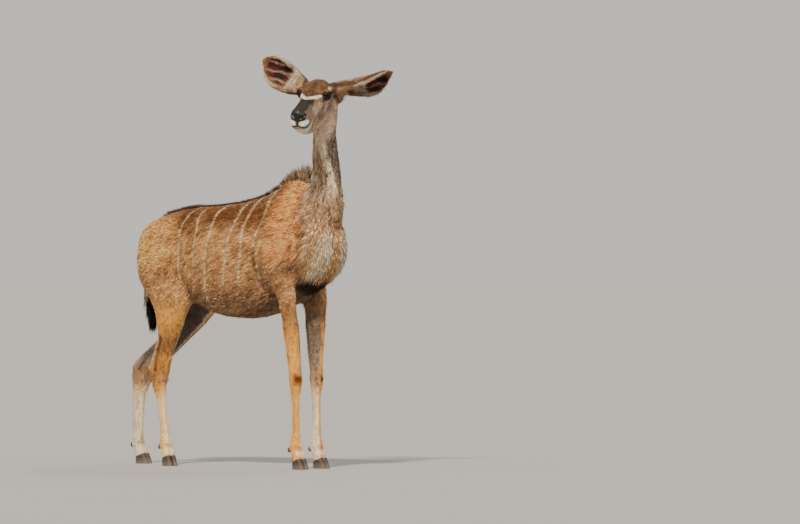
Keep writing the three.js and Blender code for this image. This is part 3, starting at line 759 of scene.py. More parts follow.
# The thin pale stripes of her right side; the left side has the same ones
stripes = [
    (0.9, [(262, -20, 1226), (269, -86, 1186), (277, -145, 1097), (254, -168, 1025), (279, -184, 930),
           (278, -166, 833)]),
    (0.85, [(178, -20, 1202), (185, -97, 1160), (181, -141, 1107), (179, -171, 1050), (186, -196, 943),
            (171, -190, 821)]),
    (0.9, [(122, -20, 1190), (117, -100, 1151), (122, -150, 1098), (114, -185, 1038), (113, -211, 930),
           (88, -203, 815)]),
    (1.0, [(-24, -20, 1172), (-28, -114, 1130), (-13, -164, 1081), (-7, -195, 1026), (-11, -213, 939),
           (-22, -205, 839), (-43, -157, 739)]),
    (0.85, [(-150, -20, 1162), (-151, -94, 1131), (-122, -149, 1081), (-105, -183, 1026), (-95, -202, 939),
            (-102, -195, 851)]),
    (0.8, [(-228, -20, 1156), (-232, -100, 1113), (-235, -130, 1073), (-237, -148, 1026), (-227, -166, 939),
           (-223, -162, 839)]),
    (0.5, [(-340, -30, 1140), (-349, -134, 1073), (-350, -159, 1019), (-350, -176, 951)]),
    (0.4, [(-440, -40, 1115), (-468, -139, 1029), (-477, -160, 953), (-477, -156, 876)]),
]
breastLine = [(595, -50, 1010), (575, -60, 912), (540, -70, 841), (490, -75, 796), (455, -75, 775)]
# lines for painted shade: the shoulder's front edge and the fold behind the elbow
shoulderEdge = [(500, -100, 1090), (490, -135, 965), (470, -138, 854)]
elbowFold = [(240, -185, 1010), (262, -180, 900), (300, -160, 800)]
# the ridge down the neck, where a painted highlight is laid
neckRidge = np.array([
    (576, -100, 1480), (584, -88, 1425), (591, -69, 1368), (598, -50, 1316), (604, -32, 1263),
    (606, -20, 1210),
], float)
faceLie = (-0.43, 0.79, 0.46)  # how the short hair of the face lies
earForms = {  # root, tip and the way the opening faces, in the head's millimetres
    "ear_right": ((32, -60, 16), (-75, -290, 90), (0.87, 0.31, 0.39)),
    "ear_left": ((32, 61, 24), (-75, 309, 88), (0.8, 0.2, -0.55)),
}
earCups = {"ear_right": 0.13, "ear_left": 0.29}  # where each cup starts along the ear
earPales = {"ear_right": 0.42, "ear_left": 0.43}  # and where its pale base ends


def earFrame(name):  # its root, the ways along it, out of its cup and across it, and its length
    root, tip, facing = (np.array(v, float) for v in earForms[name])
    along = tip - root
    size = np.linalg.norm(along)
    along = along / size
    facing = unit(facing - (facing @ along) * along)
    return root, along, facing, np.cross(along, facing), size


def earRim(name):  # how far the ear reaches to each side, along its length
    root, along, _, across, size = earFrame(name)
    owned = hardParts[:, partNames.index(name)] > 0
    local = inHead(skinPoints[owned]) - root
    height, side = local @ along / size, local @ across
    levels = np.linspace(0.04, 1.0, 25)
    low, high = [4.0], [4.0]
    for start, end in zip(levels[:-1], levels[1:]):
        band = side[(height >= start) & (height < end)]
        low.append(max(-band.min(initial=0), 4))
        high.append(max(band.max(initial=0), 4))
    return levels, low, high


earRims = {name: earRim(name) for name in earForms}


def rimShare(name, height, side):  # 0 at the ear's middle, 1 at its rim
    levels, low, high = earRims[name]
    left, right = -side / np.interp(height, levels, low), side / np.interp(height, levels, high)
    return np.where(side < 0, left, right)


def stretched(points, along, factor):  # drawn together along one way, so that a noise on it runs in strokes
    along = unit(np.array(along, float))
    return points - (1 - 1 / factor) * (points @ along)[:, None] * along


def onRight(points):  # both sides of her laid on her right side
    return np.stack([points[:, 0], -np.abs(points[:, 1]), points[:, 2]], 1)


def acrossView(x, y):  # how far a place lies along the picture's width
    return x * 0.731 + y * 0.682


def paint(colour, name, share):
    return mix(colour, tone[name], np.clip(share, 0, 1))


def painted(base, count, coats):  # a base tone, and the others laid over it in turn
    colour = np.tile(tone[base], (count, 1))
    for name, share in coats:
        colour = paint(colour, name, share)
    return colour


def trunkColour(points, normals):
    x, y, z = points.T
    right = onRight(points)
    wide, patchy = noise(points, 110, 1), noise(points, 38, 2)
    elbow, shoulder = nearLine(right, elbowFold), nearLine(right, shoulderEdge)
    chest = step(x + 14 * patchy, 478, 540) * step(z, 1180, 1060)
    crescent = nearLine(right, breastLine) + 10 * patchy
    strands = noise(stretched(points, (0.5, 0, 0.86), 4), 8, 18)
    below = step(-normals[:, 2], 0.15, 0.5)
    coats = [
        ("upperFlank", step(z + 26 * wide + 12 * patchy, 1000, 1125)),
        ("rump", step(-x + 30 * wide, 230, 400) * step(z, 1190, 1040) * step(z, 830, 930)),
        ("shoulder", bump(x, 390, 80) * step(z, 880, 960)),
        # painted shade of the muscles: under the shoulder's bulge, at and behind the elbow, and along the
        # shoulder's front edge
        ("upperArm", 0.5 * bump(x, 320, 90) * bump(z + 20 * wide, 840, 80)),
        ("upperArm", 0.85 * bump(x, 446, 36) * bump(z + 12 * patchy, 868, 40)),
        ("upperArm", 0.7 * step(elbow + 5 * patchy, 22, 6)),
        ("upperArm", 0.55 * step(shoulder + 7 * patchy, 26, 8)),
        ("back", 0.8 * step(z + 14 * wide, 1125, 1200) * step(x, 330, 250)),
        # the belly's own greyer hair with painted shade: darker where the skin faces down
        ("belly", 0.8 * step(-normals[:, 2], 0.0, 0.6) * step(z, 980, 820)),
        # painted shade between the hind legs, under the middle of the body
        ("groinShade", 0.8 * step(np.abs(y), 120, 50) * step(z, 830, 760)),
        ("upperFlank", 0.35 * step(patchy, 0.1, 0.7)),
        ("neckPale", 0.4 * step(x, 425, 480) * step(z, 1060, 1110)),
        ("flank", 0.8 * chest),
        ("neckPale", 0.3 * chest * step(-y + 20 * patchy, 20, 90)),
        ("neckGrey", 0.5 * step(y + 16 * patchy, 10, 60) * chest),
        ("brisket", 0.95 * step(crescent, 52, 24) * step(strands, 0.75, -0.1)),
        # painted shadow under the chest, between the forelegs
        ("dark", 0.97 * step(x, 400, 440) * below * step(z, 850, 805)),
    ]
    flat = np.array([1, 0.3, 1])  # measured more along the side than into it
    sided = right * flat + swirl(points, 46, 3) * 3
    fade = 0.82 + 0.25 * noise(points, 40, 6)
    for strength, line in stripes:
        gap = nearLine(sided, curved(line, 24) * flat)
        coats.append(("stripe", strength * fade * step(gap, 7, 2.4)))
    spine = step(np.abs(y) + 2 * patchy, 15, 5) * step(z, 1060, 1120) * step(x, 520, 400)
    coats.append(("dorsal", 0.9 * spine))
    return painted("flank", len(points), coats)


def neckColour(points):
    x, y, z = points.T
    wide = noise(points, 60, 5)
    forward, aside, reach = napeFrame(points)
    ridge = np.interp(-z, -neckRidge[:, 2], acrossView(neckRidge[:, 0], neckRidge[:, 1]))
    beside = acrossView(x, y) - ridge + 4 * wide  # how far to her left of the ridge
    strands = noise(stretched(points, (0, 0, 1), 5), 9, 19)
    front = step(forward, -20, 10)
    nape = step(np.abs(aside) + 4 * wide, 17, 6) * step(forward, -0.55 * reach, -0.9 * reach)
    return painted("neckBrown", len(points), [
        # the neck's own grey, with painted shade on her left of the ridge
        ("neckGrey", 0.85 * step(beside, 8, 26) * step(z + 30 * wide, 1080, 1300)),
        ("flank", 0.35 * step(z + 40 * wide, 1270, 1130) * step(forward, -60, 20)),
        ("brisketDark", 0.3 * step(strands, 0.1, 0.7)),
        ("shoulder", 0.8 * step(z + 30 * wide, 1230, 1110) * step(forward, -10, -80)),
        # painted highlight: a pale band along the ridge down the front of the neck
        ("brisket", 0.95 * step(np.abs(beside + 6), 24, 10) * front * step(z, 1180, 1260)),
        ("mane", 0.85 * nape),
    ])


def legColour(points, normals, name):
    z, ahead = points[:, 2], normals[:, 0]
    wide = noise(points, 50, 6)
    turned = -normals[:, 1] if footPlaces[name][1] > 0 else normals[:, 1]
    inner = step(turned + 0.15 * ahead + 0.15 * wide, 0.1, 0.65)
    coats = [
        # the inner sides' own greyish hair, darkened as painted shade between the legs
        ("legIn", 0.85 * inner * step(z, 250, 480)),
        ("legPale", 0.85 * inner * step(z, 420, 250)),
        # painted shade on the inner legs near the body
        ("groinShade", 0.5 * inner * step(z, 520, 640)),
    ]
    if name.startswith("fore"):
        knee = bump(z + 6 * wide, 398, 25) * step(ahead + 0.3 * wide, -0.2, 0.7)
        shadow = step(z + 14 * wide, 705, 750) * step(z, 880, 840) * step(turned, -0.1, 0.4)
        coats += [
            ("upperArm", 0.8 * step(z + 30 * wide, 510, 680) * step(z, 1010, 930) * (1 - 0.6 * inner)),
            ("knee", knee * (1 - 0.7 * inner)),
            ("dark", 0.96 * shadow),
            ("dark", 0.3 * bump(z + 20 * wide, 560, 60) * inner),
        ]
    else:
        flat = (points - np.array([*footPlaces[name], 0])) * np.array([1, 0, 1])
        tendonLine, grooveLine = hockForms[name]
        tendon = step(nearLine(flat, tendonLine) + 4 * wide, 15, 3)
        hollow = fromSpot(flat - np.array(hockBones[name]), (20, 0, -6))
        groove = np.minimum(nearLine(flat, grooveLine) + 6 * noise(points, 18, 7), hollow)
        coats += [
            ("cannon", 0.9 * step(z, 360, 260) * (1 - inner)),
            ("flank", 0.6 * step(z, 600, 760) * (1 - inner)),
            ("upperArm", 0.8 * bump(z + 20 * wide, 545, 85) * (1 - inner)),
            ("shade", 0.9 * inner * step(z + 20 * wide, 440, 520)),
            ("upperArm", 0.7 * bump(z + 14 * wide, 405, 55) * (1 - 0.3 * inner)),
            # painted light and shade for the hock's relief: the tendon lighter, the groove and the hollow by
            # the hock bone darker
            ("legPale", 0.3 * (tendon * step(np.abs(normals[:, 1]), 0.3, 0.7))),
            ("knee", 0.65 * step(groove, 18, 3) * (1 - inner)),
            ("shade", 0.7 * step(groove, 20, 3) * inner),
            ("legPale", 0.85 * bump(turned, 0.4, 0.14) * step(ahead, 0.2, 0.5) * step(z, 340, 420)),
            ("knee", 0.45 * bump(z, 420, 24) * step(-ahead, 0.4, 0.9)),
            ("legPale", 0.35 * step(z, 420, 300) * step(ahead, 0.2, 0.8)),
        ]
    coats += [
        ("legPale", 0.8 * bump(z, 72, 13) * step(ahead, 0.1, 0.7)),  # over the hooves
        ("dark", 0.4 * bump(z + 6 * wide, 98, 12) * step(ahead, 0.1, 0.7)),
    ]
    return painted("legOut", len(points), coats)


def headColour(points):
    local = foldedHead(points)
    x, y, z = local.T
    wide, fine = noise(points, 30, 8), noise(points, 9, 9)
    grain = noise(stretched(local, faceLie, 2.8), 6, 10)
    spotty = noise(stretched(local, (1, 0, 0), 2), 13, 17)
    tufty = noise(stretched(local, faceLie, 3), 5, 16)
    middle = step(y + 6 * wide, 24, 4) * step(z, 10, 40) * bump(x, 95, 42)
    bridge = step(y + 5 * wide, 42, 26) * step(x + 8 * wide, 160, 210) * step(z, -6, 18)
    under = step(z + 4 * wide, -42, -52) * step(x + 6 * wide, 240, 268)
    upperLip = fromSpot(local, (338, 26, -17), (0.6, 0.8, 1.25))
    chevron = nearLine(local, [(133, 58, 32), (180, 32, 41), (228, 0, 51)])
    browSpot = fromSpot(local, (78, 67, 40), (0.42, 0.4, 1.1))
    cheekSpot = fromSpot(local, (70, 65, -71))
    jawSpot = fromSpot(local, (171, 46, -108), (1, 1, 0.6))
    eyeRing = fromSpot(local, skinForm["eyePlace"], (0.72, 1, 1.3))
    tear = nearLine(local, [(128, 60, 20), (152, 50, 8)])
    return painted("cheek", len(points), [
        ("neckGrey", 0.5 * step(wide + 0.6 * grain, 0.1, 0.7)),
        ("neckPale", 0.5 * step(-wide + 0.6 * grain, 0.1, 0.7)),
        ("forehead", step(z + 8 * wide, 8, 46) * step(x, 240, 150)),
        ("bridge", 0.5 * step(spotty + 0.4 * grain, 0.1, 0.7) * step(z, 30, 50) * step(x, 240, 170)),
        ("earBack", 0.5 * step(x, 30, -20)),
        ("bridge", 0.4 * step(tufty + 0.4 * wide, 0.1, 0.8) * step(x, 260, 180)),
        ("bridge", 0.6 * middle),
        ("bridge", 0.95 * bridge),
        ("muzzle", 0.55 * step(x + 6 * wide, 225, 300) * (1 - bridge)),
        ("earPale", 0.35 * step(z, -84, -120)),
        ("lip", 0.75 * under),
        ("upperFlank", 0.5 * step(z + 5 * wide, -74, -92) * step(x, 250, 290) * step(y, 36, 8)),
        ("lip", 0.97 * step(upperLip + 2.5 * fine, 21, 15)),
        ("chevron", 0.95 * step(chevron + 2 * fine, 11, 5.5)),
        ("chevron", 0.95 * step(browSpot + 1.5 * fine, 12, 8)),
        ("chevron", 0.75 * step(cheekSpot + 3 * fine, 9, 3)),
        ("chevron", 0.75 * step(jawSpot + 3 * fine, 10, 4)),
        ("dark", 0.9 * step(eyeRing + 2 * fine, 34, 27)),
        ("dark", 0.9 * step(tear + fine, 7, 3.5)),
        ("nose", noseShare(points)),
    ])


def noseShare(points):  # bare black skin: nose pad, its groove and the lips' edge
    local = foldedHead(points)
    x, y, z = local.T
    fine = noise(points, 8, 11)
    pad = step(x + 2 * fine, 334, 339) * step(z - 0.25 * y + 1.5 * fine, -12, -6) * step(z, 34, 28)
    pad *= step(y + fine, 36, 31)
    groove = step(y + fine, 6, 3.5) * step(x, 340, 350) * step(z, -36, -30)
    wings = step(nearLine(local, nostrilLine) + fine, 9, 6)
    edge = step(nearLine(local, mouthLine) + 0.8 * fine, 4.2, 2.4)
    return np.clip(pad + groove + wings + edge, 0, 1)


def cupShare(points, normals, name):  # how far a point lies in the ear's cup, its height and place across
    root, along, facing, across, size = earFrame(name)
    local = inHead(points) - root
    height = local @ along / size
    side = local @ across
    toMiddle = unit(facing * (60 - local @ facing)[:, None] - across * side[:, None])
    turned = ((normals @ headTurn) * toMiddle).sum(1) + 0.06 * noise(points, 7, 12)
    inside = step(turned, 0.02, 0.25) * step(height, earCups[name], earCups[name] + 0.1)
    return inside, height, side


def earColour(points, normals, name):
    inside, height, side = cupShare(points, normals, name)
    wide, fine = noise(points, 22, 13), noise(points, 7, 14)
    reach = rimShare(name, height, side) + 0.04 * wide
    slant = side + 0.32 * (height - 0.5) * earFrame(name)[4]
    lines = (0.5 + 0.5 * np.cos((slant - 7) / 6.2 + 1.1 * wide + 0.6 * fine)) ** 5
    start, pale = earCups[name] + 0.06, earPales[name]
    middle = inside * step(height, start + 0.04, start + 0.16) * step(height, 0.92, 0.8)
    return painted("earBack", len(points), [
        ("cheek", 0.6 * step(wide, -0.2, 0.6)),
        ("cheek", 0.5 * step(fine, 0.1, 0.7)),
        ("earEdge", 0.8 * step(reach, 0.8, 0.96) * (1 - inside)),
        ("lip", 0.75 * step(height + 0.03 * fine, 0.87, 0.95)),
        ("earInside", inside),
        ("earRed", 0.7 * middle * step(wide, -0.3, 0.5)),
        ("earPale", 0.36 * middle * lines * step(reach, 0.85, 0.6) * (0.7 + 0.4 * fine)),
        ("earPale", 0.85 * inside * step(height + 0.05 * wide + 0.03 * fine, pale, pale - 0.12)),
        ("earBack", 0.6 * inside * step(height + 0.04 * wide, 0.84, 0.94)),
        ("earPale", 0.6 * inside * step(reach + 0.04 * fine, 0.88, 0.97)),
        ("earBack", 0.5 * inside * step(-side + 8 * fine, 22, 40) * step(reach, 0.55, 0.8)),
    ])


def tailColour(points):
    tip = step(points[:, 2] + 12 * noise(points, 20, 15), 930, 800)
    return painted("tailTop", len(points), [("tailTip", tip)])


def partColour(name, points, normals):
    if name == "torso":
        return trunkColour(points, normals)
    if name == "neck":
        return neckColour(points)
    if name == "head":
        return headColour(points)
    if name == "tail":
        return tailColour(points)
    if name.startswith("ear"):
        return earColour(points, normals, name)
    return legColour(points, normals, name)


def coatColour(points, normals, weights):
    total = np.zeros((len(points), 3))
    whole = np.maximum(weights.sum(1), 1e-6)
    for index, name in enumerate(partNames):
        share = weights[:, index] / whole
        seen = share > 0.003
        if seen.any():
            total[seen] += share[seen, None] * partColour(name, points[seen], normals[seen])
    return total


bareShare = np.clip(noseShare(skinPoints) * onHead, 0, 1)
skinColours = coatColour(skinPoints, skinNormals, parts)
print("coat coloured")


# Materials


def colourOf(code):
    return (*linear(code), 1)


def addNode(tree, kind, settings=None, links=None):  # sockets go by name or number
    node = tree.nodes.new(kind)
    for key, value in (settings or {}).items():
        if key == "ramp":
            for element, code in zip(node.color_ramp.elements, value):
                element.color = colourOf(code)
        elif isinstance(key, int) or key in node.inputs:
            node.inputs[key].default_value = value
        else:
            setattr(node, key, value)
    for key, source in (links or {}).items():
        tree.links.new(source, node.inputs[key])
    return node


def newMaterial(name):
    material = bpy.data.materials.new(name)
    material.use_nodes = True
    tree = material.node_tree
    tree.nodes.clear()
    return material, tree, addNode(tree, "ShaderNodeTexCoord").outputs["Object"]


def shaderWith(tree, settings, links):  # the material's last two nodes
    shader = addNode(tree, "ShaderNodeBsdfPrincipled", settings, links)
    addNode(tree, "ShaderNodeOutputMaterial", links={"Surface": shader.outputs[0]})


def pigmented(tree, place, scale, low, high):  # the coat's colour with a fine uneven tint
    pigment = addNode(tree, "ShaderNodeAttribute", {"attribute_name": "coatColour"})
    strands = addNode(tree, "ShaderNodeTexNoise", {"Scale": scale, "Detail": 3}, {"Vector": place})
    settings = {"To Min": low, "To Max": high}
    vary = addNode(tree, "ShaderNodeMapRange", settings, {"Value": strands.outputs[0]})
    settings = {"data_type": "RGBA", "blend_type": "MULTIPLY", 0: 1}
    links = {6: pigment.outputs["Color"], 7: vary.outputs[0]}
    return addNode(tree, "ShaderNodeMix", settings, links).outputs[2], strands.outputs[0]


def shortHair():  # sleek short hair: soft, a little sheen, fine strokes in its bump; bare skin is moist
    material, tree, place = newMaterial("shortKuduHair")
    colour, strands = pigmented(tree, place, 260, 0.8, 1.18)
    bare = addNode(tree, "ShaderNodeAttribute", {"attribute_name": "bareSkin"}).outputs["Fac"]
    clumps = addNode(tree, "ShaderNodeTexNoise", {"Scale": 42, "Detail": 3}, {"Vector": place})
    pebbles = addNode(tree, "ShaderNodeTexVoronoi", {"Scale": 420}, {"Vector": place})
    gloss = addNode(tree, "ShaderNodeMapRange", {"To Min": 0.74, "To Max": 0.3}, {"Value": bare})
    shine = addNode(tree, "ShaderNodeMapRange", {"To Min": 0.2, "To Max": 0.45}, {"Value": bare})
    settings = {"operation": "MULTIPLY_ADD", 1: 0.6}
    heights = addNode(tree, "ShaderNodeMath", settings, {0: clumps.outputs[0], 2: strands})
    links = {0: bare, 2: heights.outputs[0], 3: pebbles.outputs["Distance"]}
    both = addNode(tree, "ShaderNodeMix", {"data_type": "FLOAT"}, links)
    settings = {"Strength": 0.5, "Distance": 0.0012}
    relief = addNode(tree, "ShaderNodeBump", settings, {"Height": both.outputs[0]})
    shaderWith(tree, {"Sheen Weight": 0.03}, {
        "Base Color": colour,
        "Roughness": gloss.outputs[0],
        "Specular IOR Level": shine.outputs[0],
        "Normal": relief.outputs[0],
    })
    return material


def tuftHair():  # the same hair where it stands as tufts
    material, tree, place = newMaterial("kuduHairTufts")
    colour = pigmented(tree, place, 700, 0.82, 1.18)[0]
    shaderWith(tree, {"Roughness": 0.6, "Specular IOR Level": 0.15}, {"Base Color": colour})
    return material


def wetEye():  # dark moist eye under a clear cornea, its pupil a level bar
    material, tree, _ = newMaterial("moistDarkEye")
    pigment = addNode(tree, "ShaderNodeAttribute", {"attribute_name": "coatColour"})
    settings = {"Roughness": 0.1, "IOR": 1.376, "Specular IOR Level": 0.3}
    shaderWith(tree, settings, {"Base Color": pigment.outputs["Color"]})
    return material


def lidSkin():  # black moist skin at the rim of the lids
    material, tree, place = newMaterial("blackLidSkin")
    grain = addNode(tree, "ShaderNodeTexNoise", {"Scale": 500, "Detail": 3}, {"Vector": place})
    skin = addNode(tree, "ShaderNodeValToRGB", {"ramp": ("#080605", "#1a1411")}, {"Fac": grain.outputs[0]})
    settings = {"Strength": 0.4, "Distance": 0.0006}
    relief = addNode(tree, "ShaderNodeBump", settings, {"Height": grain.outputs[0]})
    settings = {"Roughness": 0.4, "Specular IOR Level": 0.3}
    shaderWith(tree, settings, {"Base Color": skin.outputs[0], "Normal": relief.outputs[0]})
    return material


def hoofHorn():  # dull dark horn with growth rings about 6 mm apart and a dusty, worn edge
    material, tree, place = newMaterial("wornHoofHorn")
    settings = {"bands_direction": "Z", "Scale": 52, "Distortion": 3, "Detail": 3, "Detail Scale": 2}
    rings = addNode(tree, "ShaderNodeTexWave", settings, {"Vector": place})
    grain = addNode(tree, "ShaderNodeTexNoise", {"Scale": 180, "Detail": 4}, {"Vector": place})
    heights = addNode(tree, "ShaderNodeSeparateXYZ", links={"Vector": place})
    settings = {"From Min": 0, "From Max": 0.03, "To Min": 0.55, "To Max": 0}
    worn = addNode(tree, "ShaderNodeMapRange", settings, {"Value": heights.outputs["Z"]})
    horn = addNode(tree, "ShaderNodeValToRGB", {"ramp": ("#1c1613", "#4a3c32")}, {"Fac": grain.outputs[0]})
    settings = {"data_type": "RGBA", 7: colourOf("#8a7766")}
    dusty = addNode(tree, "ShaderNodeMix", settings, {0: worn.outputs[0], 6: horn.outputs[0]})
    settings = {"Strength": 0.35, "Distance": 0.0015}
    relief = addNode(tree, "ShaderNodeBump", settings, {"Height": rings.outputs["Fac"]})
    shaderWith(tree, {"Roughness": 0.55}, {"Base Color": dusty.outputs[2], "Normal": relief.outputs[0]})
    return material


def paleFloor():  # matt painted studio floor
    material, tree, place = newMaterial("palePaintedFloor")
    cloud = addNode(tree, "ShaderNodeTexNoise", {"Scale": 1.4, "Detail": 3}, {"Vector": place})
    matt = addNode(tree, "ShaderNodeValToRGB", {"ramp": ("#a09e9b", "#a4a29f")}, {"Fac": cloud.outputs[0]})
    shaderWith(tree, {"Roughness": 0.85}, {"Base Color": matt.outputs[0]})
    return material


hairFlat, hairTufts, eyeMoist = shortHair(), tuftHair(), wetEye()
lidBlack, hornWorn = lidSkin(), hoofHorn()
print("materials made")


def asPiece(name, mesh, material, replacing=()):
    piece = bpy.data.objects.new(name, mesh)
    mesh.name = name
    mesh.materials.clear()
    mesh.materials.append(material)
    collection.objects.link(piece)
    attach(piece, "root")
    if replacing:
        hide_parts(*replacing)
    return piece


def setColours(mesh, colours):
    layer = mesh.attributes.new("coatColour", "FLOAT_COLOR", "POINT")
    values = np.concatenate([colours, np.ones((len(colours), 1))], 1)
    layer.data.foreach_set("color", values.astype(np.float32).ravel())


def finishSkin():  # its colours, its bare parts and its unwrap
    skinMesh.vertices.foreach_set("co", row(skinPoints).astype(np.float32).ravel())
    skinMesh.polygons.foreach_set("use_smooth", np.ones(len(skinMesh.polygons), bool))
    skinMesh.update()
    # the skin a little darker than the coat's tufts: painted shade under the coat
    setColours(skinMesh, skinColours * 0.92)
    layer = skinMesh.attributes.new("bareSkin", "FLOAT", "POINT")
    layer.data.foreach_set("value", bareShare.astype(np.float32))
    fleshNames = ["torso", "neck", "head", "ear_left", "ear_right", "tail"] + legNames
    skin = asPiece("skin", skinMesh, hairFlat, fleshNames)
    bpy.context.view_layer.objects.active = skin
    skin.select_set(True)
    bpy.ops.object.mode_set(mode="EDIT")
    bpy.ops.mesh.select_all(action="SELECT")
    bpy.ops.uv.smart_project(angle_limit=math.radians(66), island_margin=0.001)
    bpy.ops.object.mode_set(mode="OBJECT")
    skin.select_set(False)
    unwrap = skinMesh.uv_layers[0]
    unwrap.name = "OFBake"
    places = np.empty(len(skinMesh.loops) * 2)
    unwrap.data.foreach_get("uv", places)
    corners = np.empty(len(skinMesh.loops), np.int32)
    skinMesh.loops.foreach_get("vertex_index", corners)
    return places.reshape(-1, 2), corners.reshape(-1, 3)


skinUnwrap, skinFaces = finishSkin()
vertexPlace = np.zeros((len(skinPoints), 2))
vertexPlace[skinFaces.ravel()] = skinUnwrap
unwrapCorners = skinUnwrap.reshape(-1, 3, 2)
print("skin unwrapped")


# Lie of the coat: which way the hair points at any place


def lieOfCoat(points, normals, weights):
    x, y, z = points.T
    side = np.sign(y)
    back = np.full(len(points), -1.0)
    fall = -0.28 - 0.5 * step(z, 1120, 900) - 1.6 * step(x, 400, 540) - 1.5 * step(-x, 430, 560)
    fall -= 0.9 * bump(x, -260, 70) * step(z, 1000, 850)
    trunk = np.stack([back, 0.25 * side * step(np.abs(y), 5, 60), fall], 1)
    forward = napeFrame(points)[0]
    neck = np.stack([-0.25 - 0.5 * step(forward, 20, -60), 0.12 * side, back], 1)
    along, aside, high = inHead(points).T
    aside = 0.22 * np.sign(aside) * step(along, 120, 20)
    face = np.stack([back, aside, 0.25 * step(high, 0, 50) - 0.35 * step(-high, 20, 80)], 1)
    total = trunk * partShare(weights, "torso")[:, None] + neck * partShare(weights, "neck")[:, None]
    total += face @ headTurn.T * partShare(weights, "head")[:, None]
    total += np.array([-0.12, 0, -1.0]) * partShare(weights, *legNames, "tail")[:, None]
    for name in earForms:
        total += (headTurn @ earFrame(name)[1]) * partShare(weights, name)[:, None]
    total = unit(total) + 0.26 * swirl(points, 70, 20)
    total -= (total * normals).sum(1)[:, None] * normals
    return unit(total)


# Tufts: each a closed sliver with a root, three points across its widest place, and a tip
tuftFaces = np.array([(0, 3, 1), (0, 2, 3), (0, 1, 2), (4, 1, 3), (4, 3, 2), (4, 2, 1)])
coatForm = {
    "spacing": {"torso": 4.35, "neck": 4.1, "head": 2.35, "ear": 3.1, "leg": 3.95, "tail": 4.0},
    "length": {"torso": 17, "neck": 18, "head": 6.0, "ear": 7, "leg": 9, "tail": 17},
    "width": {"torso": 2.2, "neck": 2.1, "head": 1.1, "ear": 1.3, "leg": 1.6, "tail": 1.8},
    "lift": 8.5,  # degrees
    "uneven": 0.19,
    "streak": 0.58,
    "bold": 0.2,  # share of the tufts that stand out
    "shades": (0.6, 0.98, 0.98, 1.08, 1.2),  # from root to tip
    "pieceLimit": 190000,  # triangles
}


def byPart(weights, values):  # a setting of each part, with soft borders
    total = np.zeros(len(weights))
    for index, name in enumerate(partNames):
        kind = "leg" if name in legNames else "ear" if name.startswith("ear") else name
        total += weights[:, index] * values[kind]
    return total


def rooted(chosen, shares):  # the skin at the chosen places
    corners = skinFaces[chosen]
    points = (skinPoints[corners] * shares[:, :, None]).sum(1)
    normals = unit((skinNormals[corners] * shares[:, :, None]).sum(1))
    weights = (parts[corners] * shares[:, :, None]).sum(1)
    place = (unwrapCorners[chosen] * shares[:, :, None]).sum(1)
    return points, normals, weights, place


def bakeMap(mesh, place, each):  # each tuft a patch about 0.003 across at its root's place
    turn = np.arange(each) * 2.4
    reach = 0.0015 * np.sqrt((np.arange(each) + 0.5) / each)
    pattern = np.stack([np.cos(turn), np.sin(turn)], 1) * reach[:, None]
    layer = mesh.uv_layers.new(name="OFBake")
    corners = np.empty(len(mesh.loops), np.int32)
    mesh.loops.foreach_get("vertex_index", corners)
    spots = place[corners // each] + pattern[corners % each]
    layer.data.foreach_set("uv", spots.astype(np.float32).ravel())


def strokes(points, weights):  # how light or dark the coat is in each of its short strokes
    trunk = partShare(weights, "torso")
    slanted = stretched(points, (0.86, 0, 0.5), 3.6)
    upright = stretched(points, (0, 0, 1), 3.6)
    facial = stretched(foldedHead(points), faceLie, 2.8)
    head = partShare(weights, "head", "ear_left", "ear_right")
    total = 0
    for size, seed in ((9, 60), (5, 64)):
        pale = noise(slanted, size, seed) * trunk + noise(facial, 0.8 * size, seed + 1) * head
        total += (pale + noise(upright, 0.9 * size, seed + 2) * (1 - trunk - head)) * size / 9
    return total


def shaded(colours, shares):  # colours of each tuft, or of each of its points, made uneven
    count = len(colours)
    jitter = 1 + coatForm["uneven"] * random.standard_normal(count)
    chance = random.random(count)
    jitter[chance < 0.06] *= 1.3
    jitter[chance > 0.93] *= 0.72
    if colours.ndim == 2:
        colours = colours[:, None]
    tinted = colours * np.clip(jitter, 0.55, 1.6)[:, None, None] * np.asarray(shares)[None, :, None]
    return np.clip(tinted, 0, 0.9)


def layTufts(points, normals, headings, length, width, lift):  # lift in degrees off the skin
    count = len(points)
    across = unit(np.cross(normals, headings))
    headings = unit(headings + across * 0.22 * random.standard_normal(count)[:, None])
    across = np.cross(normals, headings)
    rise = np.radians(lift) * (1 + 0.35 * random.standard_normal(count))
    rise = np.clip(rise, 0.03, 1.4)[:, None]
    length = (length * (1 + 0.16 * random.standard_normal(count)))[:, None]
    width = width[:, None]
    middle = points + 0.42 * length * (headings * np.cos(1.5 * rise) + normals * np.sin(1.5 * rise))
    tip = points + length * (headings * np.cos(rise) + normals * np.sin(rise))
    tip += across * length * 0.08 * random.standard_normal(count)[:, None]
    return np.stack([
        points - normals * 0.8,
        middle + across * width / 2,
        middle - across * width / 2,
        middle + normals * width * 0.32,
        tip,
    ], 1)


def coatPieces(name, made, colours, place, faces):
    each = made.shape[1]
    size = int(coatForm["pieceLimit"] / len(faces))
    for number, start in enumerate(range(0, len(made), size)):
        some = slice(start, start + size)
        count = len(made[some])
        whole = (faces[None] + np.arange(count)[:, None, None] * each).reshape(-1, 3)
        mesh = arrayMesh(name, made[some].reshape(-1, 3), whole)
        setColours(mesh, colours[some].reshape(-1, 3))
        bakeMap(mesh, place[some], each)
        asPiece(f"{name}_{number + 1}", mesh, hairTufts)
    print(name, len(made))


